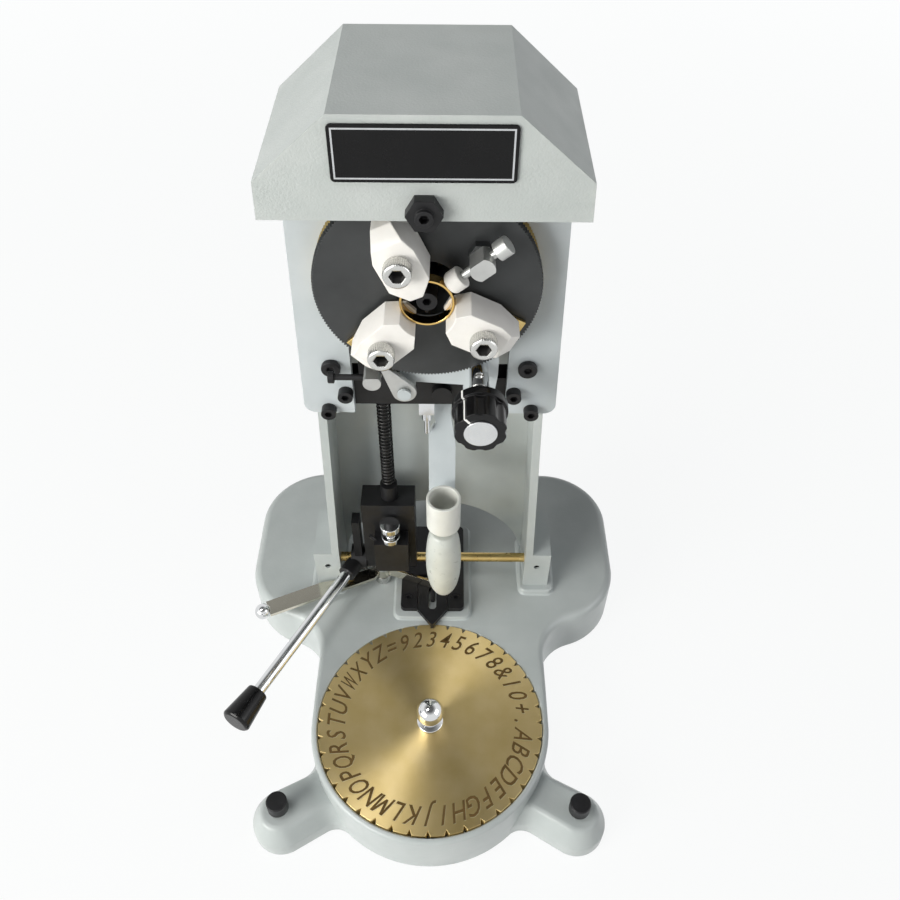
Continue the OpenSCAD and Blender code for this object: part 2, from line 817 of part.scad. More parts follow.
// Guide block, lift rod and handle
module guide_block() {
  color(black_steel) difference() {
    union() {
      block(block_x, [block_front, block_rear], block_z);
      block(ledge_x, [block_front - ledge_reach, block_front + eps], ledge_z);
      ear(block_x[0], block_x[0] + ear_w[0]);
      ear(block_x[1] - ear_w[1], block_x[1]);
      translate([-28, depth_y, ledge_z[1] - eps]) rotate([0, -35, 0]) cylinder(h = 5, r = 0.9);
    }
    along_x(rod_r + run, block_x[0] - eps, block_x[1] + eps, rod_y, rod_z);
    upright(lift_r + run, lift_bottom - 6, block_z[1] + eps, lift_x, lift_y);
    upright(depth_stem_r + run, ledge_z[0] - eps, ledge_z[1] + eps, depth_x, depth_y);
  }
}

module ear(x0, x1) {
  along_x(ear_r, x0, x1, rod_y, rod_z);
  block([x0, x1], [rod_y - ear_r, rod_y + ear_r], [rod_z, block_z[0] + eps]);
}

module depth_screw() {
  z = ledge_z[1];
  color(bright_steel) {
    upright(depth_stem_r, ledge_z[0] + 2, z + 9, depth_x, depth_y);
    upright(depth_collar_r, z + gap, z + 3.6, depth_x, depth_y);
    upright(depth_head_r, z + 9, z + 12.6, depth_x, depth_y);
  }
}

module along_handle(from) {
  d = handle_dir / norm(handle_dir);
  hub_mid = (handle_hub_x[0] + handle_hub_x[1]) / 2;
  translate([hub_mid, rod_y, rod_z] + d * from)
    rotate([0, acos(d[2]), atan2(d[1], d[0])]) children();
}

module handle_lever() {
  top_z = rod_z + lever_rise;
  hub_mid = (handle_hub_x[0] + handle_hub_x[1]) / 2;
  color(black_steel) difference() {
    union() {
      along_x(handle_hub_r, handle_hub_x[0], handle_hub_x[1], rod_y, rod_z);
      along_handle(handle_start) cylinder(h = handle_socket_len, r = handle_socket_r);
      block([hub_mid - arm_plate_t / 2, hub_mid + arm_plate_t / 2], [rod_y - 4, rod_y + 3], [rod_z, top_z]);
    }
    along_x(rod_r + run, handle_hub_x[0] - eps, handle_hub_x[1] + eps, rod_y, rod_z);
    along_handle(handle_start) cylinder(h = handle_socket_len + eps, r = handle_r + run);
  }
}

module handle_rod() {
  color(bright_steel) along_handle(handle_start)
    cylinder(h = handle_len + grip_bed - handle_start, r = handle_r);
}

module handle_grip() {
  color(black_steel) along_handle(handle_len) rotate_extrude() polygon([[handle_r, 0], [grip_neck_r, 0],
    [grip_r, grip_len - grip_edge], [grip_r - grip_edge, grip_len], [0, grip_len], [0, grip_bed],
    [handle_r, grip_bed]]);
}

module lift_rod() {
  color(black_steel) {
    upright(lift_r, lift_bottom, tab_top - 6, lift_x, lift_y);
    upright(collar_r, block_z[1] + gap, block_z[1] + gap + collar_h, lift_x, lift_y);
  }
}

// Lift spring: one wire swept along a helix, with straight closing ends
spring_bottom = block_z[1] + 2 * gap + collar_h + spring_wire / 2;
spring_top = bar_z[0] - gap - spring_wire / 2;
spring_steps = 8;
spring_sides = 6;
spring_rings = spring_turns * spring_steps;
spring_pitch = (spring_top - spring_bottom) / spring_turns;
function helix(i) = let (a = 360 * i / spring_steps)
  [lift_x + spring_r * cos(a), lift_y + spring_r * sin(a), spring_bottom + spring_pitch * i / spring_steps];
function tangent(i) = let (a = 360 * i / spring_steps, v = [-sin(a), cos(a), 0] * 2 * PI * spring_r +
  [0, 0, spring_pitch]) v / norm(v);
function wire_centre(i) = i < 0 ? helix(0) - tangent(0) * spring_wire :
  i > spring_rings ? helix(spring_rings) + tangent(spring_rings) * spring_wire : helix(i);
function wire_dir(i) = tangent(max(0, min(spring_rings, i)));
function wire_ring(i) = let (t = wire_dir(i), s = cross(t, [0, 0, 1]), u = s / norm(s), w = cross(u, t))
  [for (k = [0 : spring_sides - 1]) wire_centre(i) +
    spring_wire / 2 * (u * cos(360 * k / spring_sides) + w * sin(360 * k / spring_sides))];
spring_gap = min([for (i = [0 : spring_steps - 1], j = [spring_steps - 2 : spring_steps + 2])
  norm(helix(i + j) - helix(i))]) - spring_wire;

module lift_spring() {
  rings = [for (i = [-1 : spring_rings + 1]) each wire_ring(i)];
  last = spring_rings + 2;
  n = spring_sides;
  sides = [for (i = [0 : last - 1], k = [0 : n - 1]) each
    [[i * n + k, i * n + (k + 1) % n, (i + 1) * n + k],
      [i * n + (k + 1) % n, (i + 1) * n + (k + 1) % n, (i + 1) * n + k]]];
  ends = [for (k = [1 : n - 2]) each
    [[0, k + 1, k], [last * n, last * n + k, last * n + k + 1]]];
  echo(least_gap_of_lift_spring = spring_gap);
  color(black_steel) polyhedron(points = rings, faces = [for (f = concat(sides, ends)) [f[2], f[1], f[0]]]);
}

// Head
module head_plate() {
  w = plate_half_w;
  c = plate_corner_r;
  color(plate_paint) difference() {
    facing(plate_front, col_front) difference() {
      union() {
        polygon([[-w + c, plate_bottom], [w - c, plate_bottom], [w, plate_bottom + c],
          [plate_top_half, plate_top], [-plate_top_half, plate_top], [-w, plate_bottom + c]]);
        for (s = [-1, 1]) translate([s * (w - c), plate_bottom + c]) circle(r = c);
      }
      round_box([-plate_slot_half, plate_slot_half], [plate_bottom - 10, knob_z + 12], 4);
      translate([0, chuck_z]) circle(r = hub_r + gap);
    }
    for (s = [-1, 1], p = [corner_screw, bar_screw, button_screw])
      along_y(cap_shank_r + run, plate_front - eps, col_front + eps, s * p[0], p[1]);
  }
}

module plate_cap_screws() {
  color(black_steel) for (s = [-1, 1], p = [corner_screw, bar_screw])
    cap_screw(s * p[0], p[1], plate_front, cap_r, cap_h, cap_shank_r, plate_t + 8);
}

module button_screws() {
  color(black_steel) for (s = [-1, 1])
    cap_screw(s * button_screw[0], button_screw[1], plate_front, button_r, button_h, cap_shank_r,
      plate_t + 8);
}

module cross_bar() {
  color(black_steel) difference() {
    union() {
      block([-bar_half, bar_half], [col_front, bar_back], bar_z);
      block(tab_x, [col_front, bar_back], [bar_z[1] - eps, tab_top]);
      block(lug_x, [col_front, lug_back], [bar_z[0] - lug_drop, bar_z[0] + eps]);
      upright(2.4, bar_z[0] - lug_drop - 4, bar_z[0] - lug_drop + eps, -1.6, col_front + 2.6);
      upright(1.3, bar_z[0] - lug_drop - 13, bar_z[0] - lug_drop - 3, -1.6, col_front + 2.6);
    }
    upright(lift_r + run, bar_z[0] - eps, tab_top + eps, lift_x, lift_y);
    along_y(journal_r + run, col_front - eps, bar_back + eps, swing_x, swing_z);
    for (s = [-1, 1])
      along_y(cap_shank_r + run, col_front - eps, col_front + 8 + gap, s * bar_screw[0], bar_screw[1]);
  }
}

module carrier_plate() {
  color(plate_paint) {
    facing(carrier_front, carrier_front + carrier_t) difference() {
      union() {
        polygon([[stud_at[0], stud_at[1] + 4.5], [stud_at[0] - 4, stud_at[1] + 10],
          [knob_x + 8, knob_z + 12], [knob_x + 8, knob_z - 4], [leg_x[1], knob_z - 16],
          [leg_x[1], leg_z], [leg_x[0], leg_z], [leg_x[0], bar_z[1] + 4.2],
          [stud_at[0] + 4.4, stud_at[1] + 1.4], stud_at]);
        translate(stud_at) circle(r = 4.5);
      }
      translate([0, chuck_z]) circle(r = face_r + carrier_clear, $fn = 128);
      translate([knob_x, knob_z]) circle(r = shaft_r + run);
    }
    for (x = [leg_x[0] + spacer_r, leg_x[1] - spacer_r])
      along_y(spacer_r, carrier_front + carrier_t - 0.1, col_front, x, leg_z + 4);
    along_y(stud_r, face_front + 0.4, carrier_front + 0.1, stud_at[0], stud_at[1]);
    along_y(stud_head_r, face_front - 0.8, face_front + 0.41, stud_at[0], stud_at[1]);
  }
}

function hood_turn() = atan2(hood_top - hood_shoulder, hood_shoulder_half - hood_top_half);

module hood_outline(wall) {
  drop_side = wall * tan((90 - hood_turn()) / 2);
  drop_top = wall * tan(hood_turn() / 2);
  bottom = hood_bottom - (wall > 0 ? eps : 0);
  polygon([[wall - hood_half_w, bottom], [hood_half_w - wall, bottom],
    [hood_shoulder_half - wall, hood_shoulder - drop_side], [hood_top_half - drop_top, hood_top - wall],
    [drop_top - hood_top_half, hood_top - wall], [wall - hood_shoulder_half, hood_shoulder - drop_side]]);
}

module hood() {
  color(paint) difference() {
    facing(hood_front, hood_back) hood_outline(0);
    facing(hood_front + hood_wall, hood_back - hood_wall) hood_outline(hood_wall);
    along_y(lock_r + run, hood_front - eps, hood_front + hood_wall + eps, 0, nut_z);
    for (s = [-1, 1])
      along_y(cap_shank_r + run, hood_back - hood_wall - eps, hood_back + eps, s * hood_screw_x,
        hood_screw_z);
  }
}

module hood_screws() {
  color(black_steel) for (s = [-1, 1]) translate([0, 2 * hood_back, 0]) mirror([0, 1, 0])
    cap_screw(s * hood_screw_x, hood_screw_z, hood_back, cap_r, cap_h, cap_shank_r, hood_wall + 8);
}

module nameplate() {
  color("#17181a") facing(hood_front - name_t, hood_front)
    round_box([-name_half_w, name_half_w], name_z, name_corner);
}

module lock_screw() {
  front = hood_front - nut_t - 1.6;
  color(black_steel) difference() {
    union() {
      along_y(lock_r, front, front + lock_len, 0, nut_z);
      along_y_hex(nut_r, hood_front - nut_t, hood_front, 0, nut_z);
    }
    along_y_hex(socket_r, front - eps, front + 3, 0, nut_z);
  }
}

// Chuck
module spindle_housing() {
  color(black_steel) difference() {
    along_y(housing_r, col_front, housing_back, 0, chuck_z);
    along_y(hub_r + run, col_front - eps, housing_back + eps, 0, chuck_z);
  }
}

module ring_gear() {
  color(brass) difference() {
    union() {
      facing(gear_front, gear_back) translate([0, chuck_z]) teeth(gear_r, gear_teeth, gear_tooth_deep);
      along_y(hub_r, gear_back - eps, col_back - 2.6, 0, chuck_z);
    }
    along_y(hub_bore_r + run, gear_front - eps, col_back + eps, 0, chuck_z);
  }
}

module spindle_collar() {
  color(bright_steel) difference() {
    along_y(collar_out_r, housing_back + gap, col_back - 2.6, 0, chuck_z);
    along_y(hub_r, housing_back, col_back, 0, chuck_z);
  }
}

module face_plate() {
  color(black_steel) difference() {
    union() {
      facing(face_front, face_back) translate([0, chuck_z]) teeth(face_r, face_teeth, tooth_deep);
      along_y(hub_bore_r, face_back - eps, face_back + face_hub_len, 0, chuck_z);
      along_y_hex(clamp_nut_r, face_front - clamp_nut_t, face_front + eps, clamp_x, clamp_z);
    }
    along_y(face_bore_r, face_front - eps, face_back + face_hub_len + eps, 0, chuck_z);
    facing(face_front - eps, face_back - 0.6) translate([0, chuck_z]) for (a = jaw_angles) rotate(a)
      link([jaw_screw_at - 0.6, 0], jaw_screw_r + gap, [jaw_screw_at + jaw_slot_out, 0], jaw_screw_r + gap);
    along_y(clamp_stem_r + run, face_front - clamp_nut_t - eps, face_back - 0.6, clamp_x, clamp_z);
  }
}

module on_chuck(angle) {
  translate([0, chuck_z]) rotate(angle) children();
}

// Jaw outline: nose to the ring, widest at the screw, drawn in at the outer end
module jaw_outline() {
  shoulder = jaw_nose + 6;
  polygon([[jaw_nose, -2.5], [shoulder, -jaw_half_w], [jaw_reach - 10, -jaw_half_w],
    [jaw_reach, -jaw_half_w * 0.5], [jaw_reach, jaw_half_w * 0.5], [jaw_reach - 10, jaw_half_w],
    [shoulder, jaw_half_w], [jaw_nose, 2.5]]);
}

// With a lip, the nose reaches in front of the ring as well as behind it
module jaw(angle, lip) {
  lip_back = ring_front - gap;
  color(white_plastic) difference() {
    facing(jaw_front, jaw_back) on_chuck(angle) jaw_outline();
    translate([0, jaw_front, chuck_z]) rotate([0, -angle, 0]) translate([jaw_reach - jaw_chamfer, 0, 0])
      rotate([0, 0, -45]) translate([0, -20, -20]) cube([20, 40, 40]);
    facing(lip ? lip_back : jaw_front - eps, ring_back + gap) translate([0, chuck_z])
      circle(r = ring_r + gap);
    along_y(jaw_screw_r + run, jaw_front - eps, jaw_back + eps, jaw_screw_at * cos(angle),
      chuck_z + jaw_screw_at * sin(angle));
  }
}

module jaw_slide(angle) {
  color(brass) difference() {
    facing(jaw_back, slide_back) on_chuck(angle)
      translate([slide_start, -slide_half_w]) square([slide_end - slide_start, 2 * slide_half_w]);
    along_y(jaw_screw_r + run, jaw_back - eps, slide_back + eps, jaw_screw_at * cos(angle),
      chuck_z + jaw_screw_at * sin(angle));
  }
}

module jaw_screw(angle) {
  x = jaw_screw_at * cos(angle);
  z = chuck_z + jaw_screw_at * sin(angle);
  color(bright_steel) difference() {
    union() {
      along_y(jaw_head_r, jaw_front - gap - jaw_head_h, jaw_front - gap, x, z);
      along_y(jaw_screw_r, jaw_front - gap - eps, face_back - 1, x, z);
    }
    along_y_hex(jaw_socket_r, jaw_front - gap - jaw_head_h - eps,
      jaw_front - gap - jaw_head_h + jaw_socket_deep, x, z);
  }
}

// Turns a piece drawn along +Z at radius 0 into the clamp screw's place
module along_clamp(from) {
  translate([0, clamp_y, chuck_z]) rotate([0, 90 - clamp_angle, 0]) translate([0, 0, from]) children();
}

module clamp_post() {
  front = clamp_y - 5.2;
  seat = face_front - clamp_nut_t;
  color(bright_steel) difference() {
    union() {
      intersection() {
        along_y(clamp_post_r, front, seat, clamp_x, clamp_z);
        along_clamp(clamp_at) translate([-clamp_flat, -20, -20]) cube([2 * clamp_flat, 40, 40]);
      }
      along_y(clamp_stem_r, seat - eps, face_back - 0.6, clamp_x, clamp_z);
    }
    along_clamp(clamp_at - 10) cylinder(h = 20, r = clamp_screw_r + run);
  }
}

module clamp_screw() {
  tip_end = ring_r + gap + clamp_tip_len;
  color(bright_steel) {
    along_clamp(tip_end) cylinder(h = clamp_head_at - tip_end, r = clamp_screw_r);
    along_clamp(clamp_head_at) cylinder(h = clamp_head_len, r = clamp_head_r);
  }
}

module clamp_tip() {
  edge = 1.2;
  color(white_plastic) along_clamp(ring_r + gap) {
    cylinder(h = edge, r1 = clamp_tip_r - edge, r2 = clamp_tip_r);
    translate([0, 0, edge]) cylinder(h = clamp_tip_len - edge, r = clamp_tip_r);
  }
}

module sample_ring() {
  color("#d9a441") difference() {
    along_y(ring_r, ring_front, ring_back, 0, chuck_z);
    along_y(ring_r - ring_wall, ring_front - eps, ring_back + eps, 0, chuck_z);
  }
}

module stylus_holder() {
  color(black_steel) difference() {
    union() {
      along_y(stylus_r, stylus_front, col_back + stylus_tail, 0, chuck_z);
      translate([0, stylus_front + 2, chuck_z - stylus_r - point_len + 1])
        cylinder(h = point_len, r = point_r);
    }
    along_y_hex(socket_r, stylus_front - eps, stylus_front + 3, 0, chuck_z);
  }
}

module stylus_guide() {
  color(black_steel) difference() {
    along_y(guide_r, col_back, col_back + guide_t, 0, chuck_z);
    along_y(stylus_r + run, col_back - eps, col_back + guide_t + eps, 0, chuck_z);
  }
}

// Size knob
module knob_sleeve() {
  color(bright_steel) difference() {
    along_y(sleeve_r, sleeve_front, carrier_front, knob_x, knob_z);
    along_y(shaft_r + run, sleeve_front - eps, carrier_front + eps, knob_x, knob_z);
    upright(window_r, knob_z, knob_z + sleeve_r + eps, knob_x, sleeve_front + 5);
  }
}

module size_knob() {
  color(black_steel) difference() {
    union() {
      facing(knob_front, knob_back - knob_skirt_len) translate([knob_x, knob_z]) difference() {
        circle(r = knob_r);
        for (i = [0 : knob_flutes - 1]) rotate(i * 360 / knob_flutes)
          translate([knob_r + flute_r * flute_out, 0]) circle(r = flute_r);
      }
      along_y(knob_skirt_r, knob_back - knob_skirt_len, knob_back, knob_x, knob_z);
    }
    along_y(shaft_r, knob_back - shaft_bed, knob_back + eps, knob_x, knob_z);
  }
}

module knob_shaft() {
  color(bright_steel) {
    along_y(shaft_r, knob_back - shaft_bed, carrier_front + carrier_t + 1, knob_x, knob_z);
    along_y(shaft_collar_r, knob_back, sleeve_front - gap, knob_x, knob_z);
  }
}

module knob_cap() {
  color("#dfe2e4") along_y(cap_disc_r, knob_front - cap_disc_t, knob_front, knob_x, knob_z);
}

// Pawl and stop
module pawl_lever() {
  y0 = face_front + 0.5 + gap;
  color(bright_steel) facing(y0, y0 + pawl_t) difference() {
    link(stud_at, pawl_wide_r, pawl_tip, pawl_narrow_r);
    translate(stud_at) circle(r = stud_r + run);
  }
}

module stop_post() {
  color(bright_steel) difference() {
    along_y(stop_r, stop_front, col_front, stop_at[0], stop_at[1]);
    along_x(stop_screw_r + run, stop_at[0] - stop_r - eps, stop_at[0] + stop_r + eps, stop_screw_y,
      stop_at[1]);
    block([stop_at[0] - stop_r - eps, stop_at[0] + stop_r + eps], [stop_front - eps, stop_front + 7.5],
      [stop_at[1] + stop_r * 0.72, stop_at[1] + stop_r + eps]);
  }
}

module stop_screw() {
  color(black_steel) {
    along_x(stop_screw_r, stop_screw_x[0], stop_screw_x[1], stop_screw_y, stop_at[1]);
    along_x(stop_head_r, stop_screw_x[0] - 2.6, stop_screw_x[0], stop_screw_y, stop_at[1]);
  }
}

// Tracer
module swing_block() {
  cheek = arm_eye_half + gap;
  color(black_steel) {
    along_y(journal_r, col_front - gap - swing_nut_t, bar_back + 1, swing_x, swing_z);
    along_y(swing_nut_r, col_front - gap - swing_nut_t, col_front - gap, swing_x, swing_z);
    along_y(swing_hub_r, bar_back + gap, bar_back + 2.6, swing_x, swing_z);
    for (s = [0, 1]) translate([swing_x, 0, 0]) mirror([s, 0, 0])
      block([cheek, cheek + cheek_t], [bar_back + 0.6, arm_y + 4], [swing_z - 5, swing_z + 5]);
    along_x(arm_pin_r, swing_x - cheek - cheek_t, swing_x + cheek + cheek_t, arm_y, swing_z);
  }
}

module arm_outline() {
  notch_z = -arm_len * 0.33;
  difference() {
    polygon([[-arm_eye_half, 0], [arm_eye_half, 0], [arm_top_half, notch_z], [arm_half_w, notch_z * 1.7],
      [arm_half_w, -arm_len], [-arm_half_w, -arm_len], [-arm_half_w, notch_z * 1.5],
      [-arm_top_half, notch_z * 1.3], [-arm_top_half, notch_z]]);
    translate([-arm_half_w, notch_z * 1.22]) circle(r = arm_notch_r);
  }
}

module tracer_arm() {
  color(plate_paint) difference() {
    union() {
      translate([swing_x, arm_y, swing_z]) rotate([-arm_tilt, 0, 0]) {
        facing(-arm_t / 2, arm_t / 2) arm_outline();
        along_x(arm_eye_r, -arm_eye_half, arm_eye_half, 0, 0);
      }
      along_y(boss_r, grip_y + cup_r, arm_end_y + 1.5, swing_x, boss_z);
    }
    along_x(arm_pin_r + run, swing_x - arm_eye_half - eps, swing_x + arm_eye_half + eps, arm_y, swing_z);
  }
}

module tracer_cup() {
  color("#d9dbd8") translate([grip_x, grip_y, cup_bottom]) difference() {
    cylinder(h = cup_h, r = cup_r);
    translate([0, 0, cup_floor]) cylinder(h = cup_h, r = cup_r - cup_wall);
    translate([0, 0, -eps]) cylinder(h = cup_h, r = stud_rod_r);
  }
}

module tracer_stud() {
  color(bright_steel) upright(stud_rod_r, bulb_top - stud_bed, cup_bottom + cup_floor, grip_x, grip_y);
}

module tracer_bulb() {
  color("#d9dbd8") translate([grip_x, grip_y, bulb_top]) difference() {
    rotate_extrude() polygon(concat([[0, 0]], [for (p = bulb_shape) [p[0] * bulb_r, -p[1] * bulb_len]],
      [[0, -bulb_len]]));
    translate([0, 0, -stud_bed - gap]) cylinder(h = stud_bed + gap + eps, r = stud_rod_r + run);
  }
}

base_casting();
hold_down(-lobe_x);  // hold_down_left
hold_down(lobe_x);  // hold_down_right
dial();
dial_knob();
dial_spindle();
index_plate();
index_screws();
index_pointer();
index_lever();
index_post();
column_casting();
cap_screws();
foot_set_screws();
pivot_rod();
guide_block();
depth_screw();
handle_lever();
handle_rod();
handle_grip();
lift_rod();
lift_spring();
head_plate();
button_screws();
cross_bar();
carrier_plate();
hood();
nameplate();
lock_screw();
spindle_housing();
ring_gear();
spindle_collar();
face_plate();
jaw(jaw_angles[0], true);  // jaw_top
jaw(jaw_angles[1], false);  // jaw_left
jaw(jaw_angles[2], false);  // jaw_right
jaw_slide(jaw_angles[0]);  // slide_top
jaw_slide(jaw_angles[1]);  // slide_left
jaw_slide(jaw_angles[2]);  // slide_right
jaw_screw(jaw_angles[0]);  // jaw_screw_top
jaw_screw(jaw_angles[1]);  // jaw_screw_left
jaw_screw(jaw_angles[2]);  // jaw_screw_right
clamp_post();
clamp_screw();
clamp_tip();
sample_ring();
stylus_holder();
stylus_guide();
knob_sleeve();
size_knob();
knob_shaft();
knob_cap();
pawl_lever();
stop_post();
stop_screw();
swing_block();
tracer_arm();
tracer_cup();
tracer_stud();
tracer_bulb();
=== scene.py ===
import json
import math
import bmesh
import bpy
import numpy as np
from mathutils import Matrix, Vector
from mathutils.geometry import tessellate_polygon


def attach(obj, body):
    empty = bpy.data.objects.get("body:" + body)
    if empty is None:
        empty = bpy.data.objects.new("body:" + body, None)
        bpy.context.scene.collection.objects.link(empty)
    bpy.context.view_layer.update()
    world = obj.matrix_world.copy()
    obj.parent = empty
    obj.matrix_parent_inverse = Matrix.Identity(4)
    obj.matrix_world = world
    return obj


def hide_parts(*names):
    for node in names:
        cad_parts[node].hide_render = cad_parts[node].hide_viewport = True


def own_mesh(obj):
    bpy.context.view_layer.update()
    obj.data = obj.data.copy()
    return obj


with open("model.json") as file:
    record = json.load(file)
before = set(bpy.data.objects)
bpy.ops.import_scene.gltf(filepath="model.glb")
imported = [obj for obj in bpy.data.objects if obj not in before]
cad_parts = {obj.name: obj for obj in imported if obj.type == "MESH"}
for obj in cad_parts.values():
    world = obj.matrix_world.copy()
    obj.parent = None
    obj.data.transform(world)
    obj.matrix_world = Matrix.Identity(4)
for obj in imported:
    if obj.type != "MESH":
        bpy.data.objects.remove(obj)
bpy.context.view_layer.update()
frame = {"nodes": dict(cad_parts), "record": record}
nodes = frame["nodes"]
record = frame["record"]
mm = 0.001
bodyOf = {n: b for b, names in record["behaviour"]["bodies"].items() for n in names}
slotOf = {s["node"]: s["material_slot"] for s in record["subparts"]}
chuckZ = 244.0  # chuck axis height, mm
print("frame loaded", len(nodes))


# sRGB hex to the linear colour that a shader takes
def srgb(code):
    parts = [int(code[i:i + 2], 16) / 255 for i in (1, 3, 5)]
    return [c / 12.92 if c <= 0.04045 else ((c + 0.055) / 1.055) ** 2.4 for c in parts] + [1.0]


# one shader node with its settings, values and links
def put(tree, kind, inputs=None, **props):
    node = tree.nodes.new(kind)
    for key, value in props.items():
        setattr(node, key, value)
    for key, value in (inputs or {}).items():
        if isinstance(value, bpy.types.NodeSocket):
            tree.links.new(value, node.inputs[key])
        else:
            node.inputs[key].default_value = value
    return node


def newMaterial(name):
    mat = bpy.data.materials.new(name)
    mat.use_nodes = True
    tree = mat.node_tree
    tree.nodes.clear()
    shader = put(tree, "ShaderNodeBsdfPrincipled")
    put(tree, "ShaderNodeOutputMaterial", {"Surface": shader.outputs[0]})
    return mat, tree, shader


noiseSpan = {"From Min": 0.3, "From Max": 0.7}  # where most of a noise texture's values lie
patchShare = 0.4  # size of the gloss patches against the mottle
coatRough = 0.12


# a shader's colour mixed from two tones by one noise, its gloss by a second, and its relief from a third
def dress(tree, shader, mottle, tones, patches, rough, grain, depthMm):
    tone = put(tree, "ShaderNodeMapRange", {"Value": mottle, **noiseSpan})
    colour = put(tree, "ShaderNodeMix", {0: tone.outputs[0], 6: srgb(tones[0]), 7: srgb(tones[1])},
                 data_type="RGBA")
    gloss = put(tree, "ShaderNodeMapRange",
                {"Value": patches, **noiseSpan, "To Min": rough[0], "To Max": rough[1]})
    relief = put(tree, "ShaderNodeBump", {"Height": grain, "Distance": depthMm * mm, "Strength": 1.0})
    tree.links.new(colour.outputs[2], shader.inputs["Base Color"])
    tree.links.new(gloss.outputs[0], shader.inputs["Roughness"])
    tree.links.new(relief.outputs[0], shader.inputs["Normal"])


# mottled colour, uneven gloss and a fine relief on any material; sizes in mm
def surface(name, dark, light, rough, metal=0.0, mottleMm=20.0, grainMm=0.6, grainDepth=0.02, coat=0.0,
            specular=0.5):
    mat, tree, shader = newMaterial(name)
    where = put(tree, "ShaderNodeTexCoord").outputs["Object"]
    mottle, patches, grain = [
        put(tree, "ShaderNodeTexNoise",
            {"Vector": where, "Scale": 1 / (size * mm), "Detail": detail}).outputs["Fac"]
        for size, detail in ((mottleMm, 5.0), (mottleMm * patchShare, 4.0), (grainMm, 3.0))]
    dress(tree, shader, mottle, (dark, light), patches, rough, grain, grainDepth)
    shader.inputs["Metallic"].default_value = metal
    shader.inputs["Coat Weight"].default_value = coat
    shader.inputs["Coat Roughness"].default_value = coatRough
    shader.inputs["Specular IOR Level"].default_value = specular
    return mat


# a turned metal face: fine rings whose place is the distance from an axis through centre
def turned(name, dark, light, rough, centre, axis, ringMm, depth, anisotropic=0.0, mottleMm=14.0):
    mat, tree, shader = newMaterial(name)
    where = put(tree, "ShaderNodeTexCoord").outputs["Object"]
    local = put(tree, "ShaderNodeVectorMath", {0: where, 1: [c * mm for c in centre]},
                operation="SUBTRACT").outputs[0]
    flat = put(tree, "ShaderNodeVectorMath", {0: local, 1: [0.0 if a == axis else 1.0 for a in "xyz"]},
               operation="MULTIPLY").outputs[0]
    radius = put(tree, "ShaderNodeVectorMath", {0: flat}, operation="LENGTH").outputs["Value"]
    rings = put(tree, "ShaderNodeTexNoise", {"W": radius, "Scale": 1 / (ringMm * mm), "Detail": 3.0},
                noise_dimensions="1D").outputs["Fac"]
    mottle = put(tree, "ShaderNodeTexNoise",
                 {"Vector": where, "Scale": 1 / (mottleMm * mm), "Detail": 5.0}).outputs["Fac"]
    dress(tree, shader, mottle, (dark, light), rings, rough, rings, depth)
    shader.inputs["Metallic"].default_value = 1.0
    if anisotropic:
        shader.inputs["Anisotropic"].default_value = anisotropic
        shader.inputs["Anisotropic Rotation"].default_value = 0.25  # the highlight runs out from the middle
        tangent = put(tree, "ShaderNodeTangent", direction_type="RADIAL", axis=axis.upper())
        tree.links.new(tangent.outputs[0], shader.inputs["Tangent"])
    return mat


